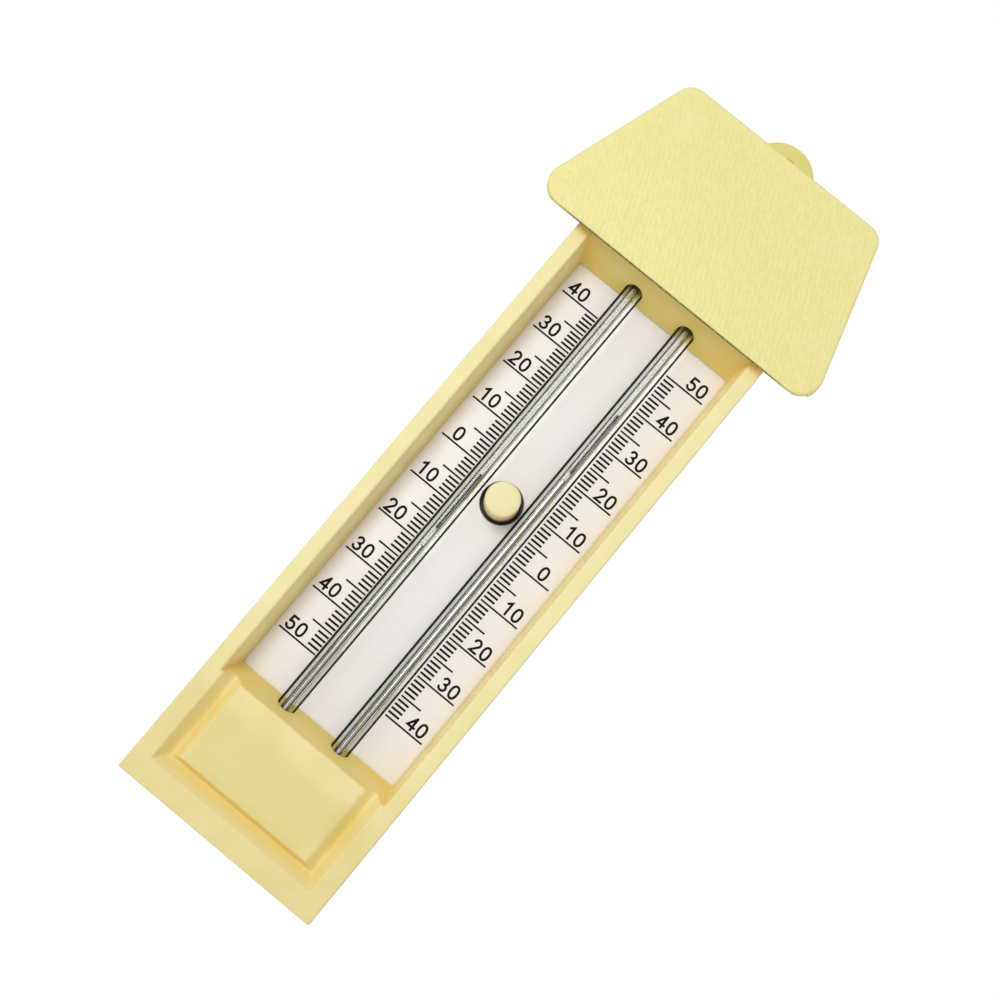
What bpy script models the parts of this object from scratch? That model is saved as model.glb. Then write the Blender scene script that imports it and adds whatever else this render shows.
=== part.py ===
"""Push-button maximum minimum thermometer (Six's type), wall hung.

Frame: origin at the middle of the rear cover's flat back, +X to the reader's
right, -Y out of the wall towards the reader, +Z up. Sizes below are in
millimetres. Y is the depth (0 at the wall, negative towards the reader) and
H is the height above the case's lower edge.
"""

import math

import bmesh
import bpy
from mathutils import Matrix, Vector

MM = 0.001
ORIGIN_H = 108.0  # height of the frame's origin above the case's lower edge

# ---- case ------------------------------------------------------------------
CASE_HALF_W = 29.1
CASE_H = 180.0
RIM_Y = -26.0
CASE_BACK_Y = -2.3
WALL = 2.0
FRONT_WALL = 3.0
RECESS_BACK_Y = -15.9
RECESS_FRONT = (25.2, 32.1, 172.3)  # half width, lowest and highest H at the rim
RECESS_BACK = (23.6, 36.9, 166.4)  # the same at the plate
POCKET_FRONT = (24.4, 6.0)
POCKET_BACK = (22.1, 9.2)
POCKET_Y = -22.9
PANEL_Y = -25.0
PANEL_FACE = (19.1, 10.7)
PANEL_FOOT = (21.6, 9.5)

# ---- rear cover --------------------------------------------------------------
COVER_T = 2.0
COVER_H = 217.5
EYELET_R = 9.4
EYELET_H = 220.9
EYELET_HOLE_R = 3.0
EYELET_HOLE_H = 223.3

# ---- rain hood ---------------------------------------------------------------
HOOD_LOW_H = 170.6
HOOD_TOP_H = 218.9
HOOD_LOW_HALF_W = 43.9
HOOD_TOP_HALF_W = 30.6
HOOD_LOW_Y = -30.0
HOOD_TOP_Y = -22.5
HOOD_T = 2.0
HOOD_LOW_R = 6.0
HOOD_TOP_R = 5.0

# ---- scale plate -------------------------------------------------------------
PLATE_HALF_W = 26.0
PLATE_LOW_H, PLATE_TOP_H = 33.6, 169.0
PLATE_FRONT_Y, PLATE_BACK_Y = -15.6, -14.4

# ---- glass -------------------------------------------------------------------
LIMB_X = 8.27
LIMB_Y = -18.5
GLASS_R = 2.5
BORE_R = 0.78
THREAD_R = 0.55
BEND_H = 28.0
BULB_Y, BULB_H = -12.0, 203.0
BULB_R, BULB_HALF = 4.5, 11.0
CHAMBER_LOW_H, CHAMBER_TOP_H, CHAMBER_R = 179.5, 193.5, 4.0
GLASS_T = 0.8
LEFT_MENISCUS_H = 86.15
RIGHT_MENISCUS_H = 120.67

# ---- indexes -----------------------------------------------------------------
INDEX_R = 0.42
MIN_INDEX = (91.5, 108.7)
MAX_INDEX = (122.75, 141.6)

# ---- reset button and magnets ------------------------------------------------
BUTTON_H = 106.8
BUTTON_R = 4.45
BUTTON_FRONT_Y = -22.2
BUTTON_BACK_Y = -13.1
BUTTON_HOLE_R = 5.3
STEM_R = 2.0
STEM_END_Y = -8.8
CARRIER_FRONT_Y, CARRIER_BACK_Y = -12.8, -10.3
CARRIER_HALF_W = 12.4
CARRIER_LOW_H, CARRIER_TOP_H = 44.0, 167.5
MAGNET_HALF_W = 2.0
MAGNET_FRONT_Y, MAGNET_BACK_Y = -14.1, -12.0
MAGNET_LOW_H, MAGNET_TOP_H = 45.5, 166.0
POCKET_FLOOR_Y = -11.7
RETAINER_R = 3.6
RETAINER_FRONT_Y, RETAINER_BACK_Y = -10.0, -9.4
SPRING_R, SPRING_WIRE_R, SPRING_TURNS = 4.6, 0.35, 4.5
SPRING_FRONT_Y, SPRING_BACK_Y = -9.65, -2.65
SPRING_POST_R, SPRING_POST_Y = 3.4, -5.2

# ---- fasteners ---------------------------------------------------------------
CASE_SCREWS = ((-21.0, 12.0), (21.0, 12.0), (-21.0, 173.4), (21.0, 173.4))
HOOD_SCREWS = ((-23.5, 208.0), (23.5, 208.0))
BOSS_R, PILOT_R, PAD_R = 3.2, 1.6, 4.2
BOSS_END_Y, PAD_FRONT_Y = -4.3, -4.0
HEAD_R, HEAD_BACK_Y, HEAD_FRONT_Y = 2.6, -0.4, -1.8
COUNTERBORE_R, COUNTERBORE_Y = 3.0, -2.2
SHANK_R, SHANK_END_Y = 1.2, -12.5
COVER_POSTS = ((-19.0, 60.0), (19.0, 60.0), (-19.0, 150.0), (19.0, 150.0))


# ==============================================================================
# scene and helpers
# ==============================================================================
for old in list(bpy.data.objects):
    bpy.data.objects.remove(old, do_unlink=True)

PARTS = bpy.data.collections.new("max_min_thermometer")
CUTTERS = bpy.data.collections.new("cutters")
bpy.context.scene.collection.children.link(PARTS)
bpy.context.scene.collection.children.link(CUTTERS)


def point(x, y, h):
    """A point of the frame, in metres, from millimetres."""
    return Vector((x * MM, y * MM, (h - ORIGIN_H) * MM))


def material(name, colour, roughness, metallic=0.0, transmission=0.0):
    made = bpy.data.materials.new(name)
    made.use_nodes = True
    shader = made.node_tree.nodes["Principled BSDF"]
    shader.inputs["Base Color"].default_value = (*colour, 1.0)
    shader.inputs["Roughness"].default_value = roughness
    shader.inputs["Metallic"].default_value = metallic
    shader.inputs["Transmission Weight"].default_value = transmission
    return made


def add(name, mesh, at=(0.0, 0.0, 0.0), helper=False):
    made = bpy.data.objects.new(name, mesh)
    made.location = at
    (CUTTERS if helper else PARTS).objects.link(made)
    if helper:
        made.hide_render = True
        made.display_type = "WIRE"
    return made


def mesh_from(build, name):
    work = bmesh.new()
    build(work)
    bmesh.ops.recalc_face_normals(work, faces=work.faces)
    mesh = bpy.data.meshes.new(name)
    work.to_mesh(mesh)
    work.free()
    return mesh


def box(name, x, y, h, helper=False):
    """A box between two values of x, of y and of h, with its origin at its middle."""
    low, high = point(x[0], y[0], h[0]), point(x[1], y[1], h[1])
    size = high - low

    def build(work):
        bmesh.ops.create_cube(work, size=1.0)
        bmesh.ops.scale(work, vec=[abs(s) for s in size], verts=work.verts)

    return add(name, mesh_from(build, name), (low + high) / 2, helper)


def loft_box(name, front, back, helper=False):
    """A box whose front and back rectangles differ: each is (y, half width, low h, high h)."""

    def build(work):
        bmesh.ops.create_cube(work, size=2.0)
        for vert in work.verts:
            y, half, low, high = front if vert.co.y < 0 else back
            vert.co = point(
                half * (1 if vert.co.x > 0 else -1), y, high if vert.co.z > 0 else low
            )

    return add(name, mesh_from(build, name), helper=helper)


def rod_y(name, x, h, radius, y, segments=24, helper=False):
    """A cylinder along Y between two depths."""

    def build(work):
        bmesh.ops.create_cone(
            work,
            cap_ends=True,
            segments=segments,
            radius1=radius * MM,
            radius2=radius * MM,
            depth=abs(y[1] - y[0]) * MM,
            matrix=Matrix.Rotation(math.pi / 2, 4, "X"),
        )

    return add(
        name, mesh_from(build, name), point(x, (y[0] + y[1]) / 2, h), helper
    )


def rod_z(name, x, y, radius, h, segments=20, helper=False):
    """A cylinder along Z between two heights."""

    def build(work):
        bmesh.ops.create_cone(
            work,
            cap_ends=True,
            segments=segments,
            radius1=radius * MM,
            radius2=radius * MM,
            depth=abs(h[1] - h[0]) * MM,
        )

    return add(
        name, mesh_from(build, name), point(x, y, (h[0] + h[1]) / 2), helper
    )


def realised(curve_object, helper=False):
    """The mesh object that a curve object evaluates to, caps welded, the curve removed."""
    bpy.context.view_layer.update()
    graph = bpy.context.evaluated_depsgraph_get()
    mesh = bpy.data.meshes.new_from_object(curve_object.evaluated_get(graph))
    work = bmesh.new()
    work.from_mesh(mesh)
    bmesh.ops.remove_doubles(work, verts=work.verts, dist=2e-6)
    bmesh.ops.recalc_face_normals(work, faces=work.faces)
    work.to_mesh(mesh)
    work.free()
    name = curve_object.name
    matrix = curve_object.matrix_world.copy()
    bpy.data.objects.remove(curve_object, do_unlink=True)
    made = add(name, mesh, helper=helper)
    made.matrix_world = matrix
    return made


def prism(name, outline, y, helper=False):
    """A flat outline of (x, h) points, as thick as the two depths are apart."""
    curve = bpy.data.curves.new(name, "CURVE")
    curve.dimensions = "2D"
    curve.fill_mode = "BOTH"
    curve.extrude = abs(y[1] - y[0]) / 2 * MM
    spline = curve.splines.new("POLY")
    spline.points.add(len(outline) - 1)
    for target, (x, h) in zip(spline.points, outline):
        target.co = (x * MM, (h - ORIGIN_H) * MM, 0.0, 1.0)
    spline.use_cyclic_u = True
    made = add(name, curve, helper=helper)
    made.rotation_euler = (math.pi / 2, 0.0, 0.0)
    made.location = (0.0, (y[0] + y[1]) / 2 * MM, 0.0)
    return realised(made, helper)


def swept(name, path, radius, ring=2, helper=False):
    """A round rod along a list of points in metres. ring 2 gives 8 sides, 4 gives 12."""
    curve = bpy.data.curves.new(name, "CURVE")
    curve.dimensions = "3D"
    curve.bevel_depth = radius * MM
    curve.bevel_resolution = ring
    curve.use_fill_caps = True
    spline = curve.splines.new("POLY")
    spline.points.add(len(path) - 1)
    for target, co in zip(spline.points, path):
        target.co = (*co, 1.0)
    return realised(add(name, curve, helper=helper), helper)


def turned(name, profile, at, axis="Z", steps=24, helper=False):
    """A turned solid: profile is (radius, height) from its top to its foot."""
    mesh = bpy.data.meshes.new(name)
    work = bmesh.new()
    points = [work.verts.new((r * MM, 0.0, z * MM)) for r, z in profile]
    for a, b in zip(points, points[1:]):
        work.edges.new((a, b))
    work.to_mesh(mesh)
    work.free()
    made = add(name, mesh, at, helper)
    if axis == "-Y":  # the profile's top points out of the wall
        made.rotation_euler = (math.pi / 2, 0.0, 0.0)
    elif axis == "X":
        made.rotation_euler = (0.0, math.pi / 2, 0.0)
    screw = made.modifiers.new("turn", "SCREW")
    screw.steps = screw.render_steps = steps
    screw.use_merge_vertices = True
    screw.merge_threshold = 1e-6
    screw.use_smooth_shade = True
    bpy.context.view_layer.update()
    return made


def shape(target, cutter, operation):
    step = target.modifiers.new(cutter.name, "BOOLEAN")
    step.operation = operation
    step.solver = "EXACT"
    step.object = cutter
    return target


def cut(target, *cutters):
    for cutter in cutters:
        shape(target, cutter, "DIFFERENCE")
    return target


def join(target, *others):
    for other in others:
        shape(target, other, "UNION")
    return target


def finish(made, look, smooth=False):
    made.data.materials.clear()
    made.data.materials.append(look)
    if smooth:
        made.data.shade_smooth()
        made.data.set_sharp_from_angle(angle=math.radians(35))
    return made


def arc(cx, ch, radius, start, end, count):
    """Points on an arc, angles in degrees, count intervals."""
    return [
        (
            cx + radius * math.cos(math.radians(start + (end - start) * i / count)),
            ch + radius * math.sin(math.radians(start + (end - start) * i / count)),
        )
        for i in range(count + 1)
    ]


# ==============================================================================
# materials
# ==============================================================================
CREAM = material("case_cream", (0.80, 0.71, 0.36), 0.5)
CREAM_HOOD = material("hood_cream", (0.82, 0.74, 0.38), 0.55)
WHITE = material("scale_white", (0.86, 0.84, 0.81), 0.4)
GLASS = material("clear_glass", (0.95, 0.97, 0.96), 0.03, 0.0, 0.9)
MERCURY = material("mercury", (0.62, 0.63, 0.65), 0.12, 1.0)
SPIRIT = material("spirit", (0.92, 0.94, 0.95), 0.05, 0.0, 0.9)
INDEX_STEEL = material("index_steel", (0.05, 0.06, 0.09), 0.35, 0.8)
CARRIER_GREY = material("carrier_grey", (0.42, 0.42, 0.40), 0.5)
MAGNET_BLACK = material("magnet_black", (0.05, 0.05, 0.05), 0.7)
SPRING_STEEL = material("spring_steel", (0.55, 0.55, 0.56), 0.3, 1.0)
SCREW_STEEL = material("screw_zinc", (0.66, 0.66, 0.64), 0.35, 1.0)
FOAM = material("foam_grey", (0.28, 0.28, 0.29), 0.95)


# ==============================================================================
# front case
# ==============================================================================
def frustum_at(front_y, back_y, front, back, y):
    """The half width, low h and high h of a drafted opening at depth y."""
    t = (y - front_y) / (back_y - front_y)
    return tuple(a + (b - a) * t for a, b in zip(front, back))


front_case = box(
    "front_case",
    (-CASE_HALF_W, CASE_HALF_W),
    (RIM_Y, CASE_BACK_Y),
    (0.0, CASE_H),
)
edge = front_case.modifiers.new("soft_edges", "BEVEL")
edge.width = 0.7 * MM
edge.segments = 2
edge.limit_method = "ANGLE"

cavity = box(
    "case_cavity",
    (-CASE_HALF_W + WALL, CASE_HALF_W - WALL),
    (RIM_Y + FRONT_WALL, 5.0),
    (WALL, CASE_H - WALL),
    helper=True,
)
block = box(
    "recess_block",
    (-CASE_HALF_W + WALL - 0.3, CASE_HALF_W - WALL + 0.3),
    (RIM_Y + 2.0, RECESS_BACK_Y),
    (29.0, 176.0),
    helper=True,
)
lower_fill = box(
    "panel_backing",
    (-CASE_HALF_W + WALL - 0.4, CASE_HALF_W - WALL + 0.4),
    (RIM_Y + 2.1, -21.45),
    (1.0, 30.0),
    helper=True,
)
recess_cut = loft_box(
    "recess_cut",
    (-27.0, *frustum_at(RIM_Y, RECESS_BACK_Y, RECESS_FRONT, RECESS_BACK, -27.0)),
    (-15.0, *frustum_at(RIM_Y, RECESS_BACK_Y, RECESS_FRONT, RECESS_BACK, -15.0)),
    helper=True,
)
pocket_rates = [
    (a - b) / (POCKET_Y - RIM_Y) for a, b in zip(POCKET_FRONT, POCKET_BACK)
]
pocket_cut = loft_box(
    "pocket_cut",
    (
        RIM_Y - 1.0,
        POCKET_FRONT[0] + pocket_rates[0],
        POCKET_FRONT[1] + pocket_rates[1],
        38.0,
    ),
    (POCKET_Y, POCKET_BACK[0], POCKET_BACK[1], 38.0),
    helper=True,
)
slope = (RECESS_BACK[1] - RECESS_FRONT[1]) / (RECESS_BACK_Y - RIM_Y)
panel = loft_box(
    "raised_panel",
    (PANEL_Y, PANEL_FACE[0], PANEL_FACE[1], RECESS_FRONT[1] + slope * (PANEL_Y - RIM_Y)),
    (
        -22.4,
        PANEL_FOOT[0],
        PANEL_FOOT[1],
        RECESS_FRONT[1] + slope * (-22.4 - RIM_Y) - 0.05,
    ),
    helper=True,
)
cut(front_case, cavity)
join(front_case, block, lower_fill)
for index, (x, h) in enumerate(CASE_SCREWS):
    front = -22.0 if h < 50 else -17.0
    join(
        front_case,
        rod_y(f"case_boss_{index}", x, h, BOSS_R, (front, BOSS_END_Y), 20, helper=True),
    )
cut(front_case, recess_cut, pocket_cut)
join(front_case, panel)
for index, x in enumerate((-LIMB_X, LIMB_X)):
    for place, h in (("low", (24.0, 45.0)), ("high", (160.0, 185.0))):
        cut(
            front_case,
            rod_z(f"limb_slot_{place}_{index}", x, LIMB_Y, 2.85, h, 20, helper=True),
            box(
                f"limb_mouth_{place}_{index}",
                (x - 2.8, x + 2.8),
                (LIMB_Y, -10.0 if place == "low" else 1.0),
                (h[0] + 0.1, h[1] - 0.1),
                helper=True,
            ),
        )
for index, (x, h) in enumerate(CASE_SCREWS):
    cut(
        front_case,
        rod_y(f"case_pilot_{index}", x, h, PILOT_R, (-13.5, 1.0), 16, helper=True),
    )
finish(front_case, CREAM, smooth=True)

# ==============================================================================
# rear cover with the hanging eyelet
# ==============================================================================
corner = 1.2
cover_outline = (
    arc(CASE_HALF_W - corner, corner, corner, -90, 0, 4)
    + arc(CASE_HALF_W - corner, COVER_H - corner, corner, 0, 90, 4)
    + arc(-CASE_HALF_W + corner, COVER_H - corner, corner, 90, 180, 4)
    + arc(-CASE_HALF_W + corner, corner, corner, 180, 270, 4)
)
rear_cover = prism("rear_cover", cover_outline, (-COVER_T, 0.0))
tab = prism(
    "eyelet_tab",
    arc(0.0, EYELET_H, EYELET_R, 0, 180, 20) + [(-EYELET_R, 213.0), (EYELET_R, 213.0)],
    (-COVER_T - 0.02, -0.02),
    helper=True,
)
join(rear_cover, tab)
for index, (x, h) in enumerate(CASE_SCREWS + HOOD_SCREWS):
    join(
        rear_cover,
        rod_y(f"pad_{index}", x, h, PAD_R, (PAD_FRONT_Y, -1.0), 20, helper=True),
    )
for index, (x, h) in enumerate(COVER_POSTS):
    join(rear_cover, rod_y(f"post_{index}", x, h, 2.0, (-14.1, -1.0), 12, helper=True))
join(
    rear_cover,
    rod_y("spring_post", 0.0, BUTTON_H, SPRING_POST_R, (SPRING_POST_Y, -1.0), 20, helper=True),
    box("saddle_rib", (-10.0, 10.0), (-12.0, -1.0), (19.5, 31.0), helper=True),
)
for index, (x, h) in enumerate(CASE_SCREWS + HOOD_SCREWS):
    cut(
        rear_cover,
        rod_y(f"counterbore_{index}", x, h, COUNTERBORE_R, (COUNTERBORE_Y, 1.0), 20, helper=True),
        rod_y(f"clearance_{index}", x, h, 1.7, (-6.0, 1.0), 16, helper=True),
    )
cut(
    rear_cover,
    rod_y("eyelet_hole", 0.0, EYELET_HOLE_H, EYELET_HOLE_R, (-5.0, 3.0), 24, helper=True),
)
finish(rear_cover, CREAM, smooth=True)


# ==============================================================================
# rain hood
# ==============================================================================
def hood_outline(inset, low_h, steps):
    """The hood's outline, moved in by inset, with its foot at low_h, rounded at each corner."""
    rise = HOOD_TOP_H - HOOD_LOW_H
    run = HOOD_LOW_HALF_W - HOOD_TOP_HALF_W
    lean = math.atan2(run, rise)
    side = inset / math.cos(lean)

    def half_at(h):
        return HOOD_LOW_HALF_W - (h - HOOD_LOW_H) * run / rise - side

    top_h = HOOD_TOP_H - inset
    low_r = max(HOOD_LOW_R - inset, 0.5)
    top_r = max(HOOD_TOP_R - inset, 0.5)
    # Interior angles: 90 degrees less the lean at the foot, plus the lean at the top.
    low_reach = low_r / math.tan((math.pi / 2 - lean) / 2)
    top_reach = top_r / math.tan((math.pi / 2 + lean) / 2)
    low_x = half_at(low_h) - low_reach
    top_x = half_at(top_h) - top_reach
    turn = math.degrees(lean)
    right = arc(low_x, low_h + low_r, low_r, -90, turn, steps) + arc(
        top_x, top_h - top_r, top_r, turn, 90, steps
    )
    return right + [(-x, h) for x, h in reversed(right)]


def front_plane_cutter(name, behind):
    """A block in front of the hood's sloping face, moved back by behind."""
    rise = (HOOD_TOP_H - HOOD_LOW_H) * MM
    back = (HOOD_TOP_Y - HOOD_LOW_Y) * MM
    lean = math.atan2(back, rise)
    made = box(name, (-60.0, 60.0), (-40.0, 0.0), (ORIGIN_H - 60.0, ORIGIN_H + 60.0), helper=True)
    made.rotation_euler = (-lean, 0.0, 0.0)
    middle = point(
        0.0, (HOOD_LOW_Y + HOOD_TOP_Y) / 2 + behind, (HOOD_LOW_H + HOOD_TOP_H) / 2
    )
    out = Vector((0.0, -math.cos(lean), math.sin(lean)))
    made.location = middle + out * 20.0 * MM
    return made


rain_hood = prism("rain_hood", hood_outline(0.0, HOOD_LOW_H, 6), (-34.0, CASE_BACK_Y))
cut(rain_hood, front_plane_cutter("hood_front_cut", 0.0))
hood_inside = prism(
    "hood_inside", hood_outline(HOOD_T, HOOD_LOW_H - 9.0, 4), (-33.0, 3.0), helper=True
)
cut(hood_inside, front_plane_cutter("hood_inside_cut", HOOD_T + 0.05))
cut(rain_hood, hood_inside)


def wedge(name, outline, half):
    """A prism along X of (y, h) points."""

    def build(work):
        ring = [work.verts.new(point(-half, y, h)) for y, h in outline]
        face = work.faces.new(ring)
        moved = bmesh.ops.extrude_face_region(work, geom=[face])["geom"]
        verts = [item for item in moved if isinstance(item, bmesh.types.BMVert)]
        bmesh.ops.translate(work, vec=(2 * half * MM, 0.0, 0.0), verts=verts)

    return add(name, mesh_from(build, name), helper=True)


cut(
    rain_hood,
    wedge(
        "hood_mouth",
        ((8.0, 206.0), (-27.6, 171.0), (-27.6, 160.0), (8.0, 160.0)),
        60.0,
    ),
)
for index, (x, h) in enumerate(HOOD_SCREWS):
    join(
        rain_hood,
        rod_y(f"hood_boss_{index}", x, h, BOSS_R, (-22.8, BOSS_END_Y), 20, helper=True),
    )
for index, (x, h) in enumerate(HOOD_SCREWS):
    cut(
        rain_hood,
        rod_y(f"hood_pilot_{index}", x, h, PILOT_R, (-13.5, 1.0), 16, helper=True),
    )
finish(rain_hood, CREAM_HOOD, smooth=True)

# ==============================================================================
# scale plate
# ==============================================================================
corner = 1.5
scale_plate = prism(
    "scale_plate",
    arc(PLATE_HALF_W - corner, PLATE_LOW_H + corner, corner, -90, 0, 3)
    + arc(PLATE_HALF_W - corner, PLATE_TOP_H - corner, corner, 0, 90, 3)
    + arc(-PLATE_HALF_W + corner, PLATE_TOP_H - corner, corner, 90, 180, 3)
    + arc(-PLATE_HALF_W + corner, PLATE_LOW_H + corner, corner, 180, 270, 3),
    (PLATE_FRONT_Y, PLATE_BACK_Y),
)
cut(
    scale_plate,
    rod_y("button_hole", 0.0, BUTTON_H, BUTTON_HOLE_R, (-18.0, -12.0), 32, helper=True),
)
finish(scale_plate, WHITE, smooth=True)


# ==============================================================================
# glass U-tube, mercury and spirit
# ==============================================================================
def bend(count=14):
    """The U-bend from the left limb to the right one."""
    return [
        point(
            -LIMB_X * math.cos(math.pi * i / count),
            LIMB_Y,
            BEND_H - LIMB_X * math.sin(math.pi * i / count),
        )
        for i in range(count + 1)
    ]


def neck(count=6):
    """From the big bulb down and forward to the top of the left limb."""
    low, high = 182.0, 193.0
    points = []
    for i in range(count + 1):
        t = i / count
        ease = t * t * (3 - 2 * t)
        points.append(point(-LIMB_X, BULB_Y + (LIMB_Y - BULB_Y) * ease, high + (low - high) * t))
    return points


def limbs(top):
    return [point(-LIMB_X, BULB_Y, top)] + neck() + bend() + [
        point(LIMB_X, LIMB_Y, CHAMBER_LOW_H + 3.0)
    ]


def capsule(name, radius, half, steps, helper):
    """The big bulb, lying along X."""
    ends = 4
    profile = [
        (radius * math.sin(math.pi / 2 * i / ends), half + radius * math.cos(math.pi / 2 * i / ends))
        for i in range(ends + 1)
    ]
    profile[0] = (0.0, half + radius)
    profile += [(r, -z) for r, z in reversed(profile)]
    return turned(name, profile, point(0.0, BULB_Y, BULB_H), "X", steps, helper)


def pear(name, low, top, radius, neck_r, steps, helper):
    """The expansion chamber on the right limb."""
    rounds = 4
    profile = [
        (
            radius * math.sin(math.pi / 2 * i / rounds),
            top - radius + radius * math.cos(math.pi / 2 * i / rounds),
        )
        for i in range(rounds + 1)
    ]
    profile[0] = (0.0, top)
    for i in range(1, rounds + 1):
        t = i / rounds
        profile.append(
            (radius + (neck_r - radius) * t * t * (3 - 2 * t), (top - radius - 3.0) * (1 - t) + low * t)
        )
    profile.append((0.0, low))
    return turned(
        name,
        [(r, z - low) for r, z in profile],
        point(LIMB_X, LIMB_Y, low),
        "Z",
        steps,
        helper,
    )


glass_u_tube = swept("glass_u_tube", limbs(BULB_H - 2.0), GLASS_R, 4)
join(
    glass_u_tube,
    capsule("bulb_outside", BULB_R, BULB_HALF, 20, True),
    pear("chamber_outside", CHAMBER_LOW_H, CHAMBER_TOP_H, CHAMBER_R, 2.3, 20, True),
    rod_z("seal_tip", LIMB_X, LIMB_Y, 0.9, (CHAMBER_TOP_H - 1.0, CHAMBER_TOP_H + 2.0), 10, helper=True),
)
cut(
    glass_u_tube,
    swept("bore", limbs(BULB_H - 1.0), BORE_R, 2, True),
    capsule("bulb_inside", BULB_R - GLASS_T, BULB_HALF, 16, True),
    pear(
        "chamber_inside",
        CHAMBER_LOW_H + 0.8,
        CHAMBER_TOP_H - GLASS_T,
        CHAMBER_R - GLASS_T,
        BORE_R * 0.9,
        16,
        True,
    ),
    rod_z("tip_bore", LIMB_X, LIMB_Y, 0.4, (CHAMBER_TOP_H - 3.0, CHAMBER_TOP_H + 4.0), 8, helper=True),
)
finish(glass_u_tube, GLASS, smooth=True)

mercury_thread = swept(
    "mercury_thread",
    [point(-LIMB_X, LIMB_Y, LEFT_MENISCUS_H)] + bend() + [point(LIMB_X, LIMB_Y, RIGHT_MENISCUS_H)],
    THREAD_R,
    2,
)
finish(mercury_thread, MERCURY, smooth=True)

spirit_bulb_fill = capsule("spirit_bulb_fill", BULB_R - GLASS_T - 0.25, BULB_HALF, 16, False)
join(
    spirit_bulb_fill,
    swept("neck_fill", [point(-LIMB_X, BULB_Y, BULB_H - 2.0)] + neck(), THREAD_R, 2, True),
)
finish(spirit_bulb_fill, SPIRIT)

level = CHAMBER_TOP_H - CHAMBER_R - 1.0
spirit_chamber_fill = turned(
    "spirit_chamber_fill",
    [
        (0.0, level - CHAMBER_LOW_H),
        (CHAMBER_R - GLASS_T - 0.35, level - CHAMBER_LOW_H),
        (CHAMBER_R - GLASS_T - 0.35, level - CHAMBER_LOW_H - 2.6),
        (1.4, 4.6),
        (0.0, 3.6),
    ],
    point(LIMB_X, LIMB_Y, CHAMBER_LOW_H),
    "Z",
    16,
)
finish(spirit_chamber_fill, SPIRIT)


# ==============================================================================
# indexes
# ==============================================================================
def index_pin(name, x, low, high):
    """A needle with a bead at each end, its origin at its lower end."""
    length = high - low
    profile = (
        (0.0, length),
        (INDEX_R * 0.8, length - 0.15),
        (INDEX_R, length - 0.6),
        (INDEX_R, length - 1.4),
        (INDEX_R * 0.7, length - 2.0),
        (INDEX_R * 0.7, 2.0),
        (INDEX_R, 1.4),
        (INDEX_R, 0.6),
        (INDEX_R * 0.8, 0.15),
        (0.0, 0.0),
    )
    return finish(turned(name, profile, point(x, LIMB_Y, low), "Z", 10), INDEX_STEEL)


index_pin("min_index", -LIMB_X, *MIN_INDEX)
index_pin("max_index", LIMB_X, *MAX_INDEX)

# ==============================================================================
# reset button, carrier, magnets, retainer, spring
# ==============================================================================
reset_axis = bpy.data.objects.new("reset_axis", None)
reset_axis.location = point(0.0, 0.0, BUTTON_H)
PARTS.objects.link(reset_axis)


def on_reset_axis(made):
    made.parent = reset_axis
    made.matrix_parent_inverse = Matrix.Translation(-reset_axis.location)
    return made


reset_button = turned(
    "reset_button",
    (
        (0.0, -BUTTON_FRONT_Y),
        (BUTTON_R - 1.2, -BUTTON_FRONT_Y - 0.1),
        (BUTTON_R - 0.45, -BUTTON_FRONT_Y - 0.35),
        (BUTTON_R, -BUTTON_FRONT_Y - 0.9),
        (BUTTON_R, -BUTTON_BACK_Y),
        (STEM_R, -BUTTON_BACK_Y),
        (STEM_R, -STEM_END_Y + 0.3),
        (STEM_R - 0.3, -STEM_END_Y),
        (0.0, -STEM_END_Y),
    ),
    point(0.0, 0.0, BUTTON_H),
    "-Y",
    32,
)
on_reset_axis(finish(reset_button, CREAM))

magnet_carrier = box(
    "magnet_carrier",
    (-CARRIER_HALF_W, CARRIER_HALF_W),
    (CARRIER_FRONT_Y, CARRIER_BACK_Y),
    (CARRIER_LOW_H, CARRIER_TOP_H),
)
cut(
    magnet_carrier,
    rod_y("stem_hole", 0.0, BUTTON_H, STEM_R + 0.3, (-15.0, -8.0), 20, helper=True),
)
for side, x in (("min", -LIMB_X), ("max", LIMB_X)):
    cut(
        magnet_carrier,
        box(
            f"{side}_magnet_pocket",
            (x - MAGNET_HALF_W - 0.3, x + MAGNET_HALF_W + 0.3),
            (-14.0, POCKET_FLOOR_Y),
            (MAGNET_LOW_H - 0.3, MAGNET_TOP_H + 0.3),
            helper=True,
        ),
    )
on_reset_axis(finish(magnet_carrier, CARRIER_GREY))
for side, x in (("min", -LIMB_X), ("max", LIMB_X)):
    magnet = box(
        f"{side}_magnet",
        (x - MAGNET_HALF_W, x + MAGNET_HALF_W),
        (MAGNET_FRONT_Y, MAGNET_BACK_Y),
        (MAGNET_LOW_H, MAGNET_TOP_H),
    )
    on_reset_axis(finish(magnet, MAGNET_BLACK))

stem_retainer = rod_y(
    "stem_retainer", 0.0, BUTTON_H, RETAINER_R, (RETAINER_FRONT_Y, RETAINER_BACK_Y), 24
)
cut(
    stem_retainer,
    rod_y("retainer_hole", 0.0, BUTTON_H, STEM_R + 0.15, (-12.0, -7.0), 20, helper=True),
)
on_reset_axis(finish(stem_retainer, SPRING_STEEL, smooth=True))

coil = []
per_turn = 12
total = int(SPRING_TURNS * per_turn)
for i in range(total + 1):
    angle = 2 * math.pi * i / per_turn
    y = SPRING_FRONT_Y + (SPRING_BACK_Y - SPRING_FRONT_Y) * i / total
    coil.append(
        point(SPRING_R * math.cos(angle), y, BUTTON_H + SPRING_R * math.sin(angle))
    )
finish(swept("return_spring", coil, SPRING_WIRE_R, 1), SPRING_STEEL, smooth=True)

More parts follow.
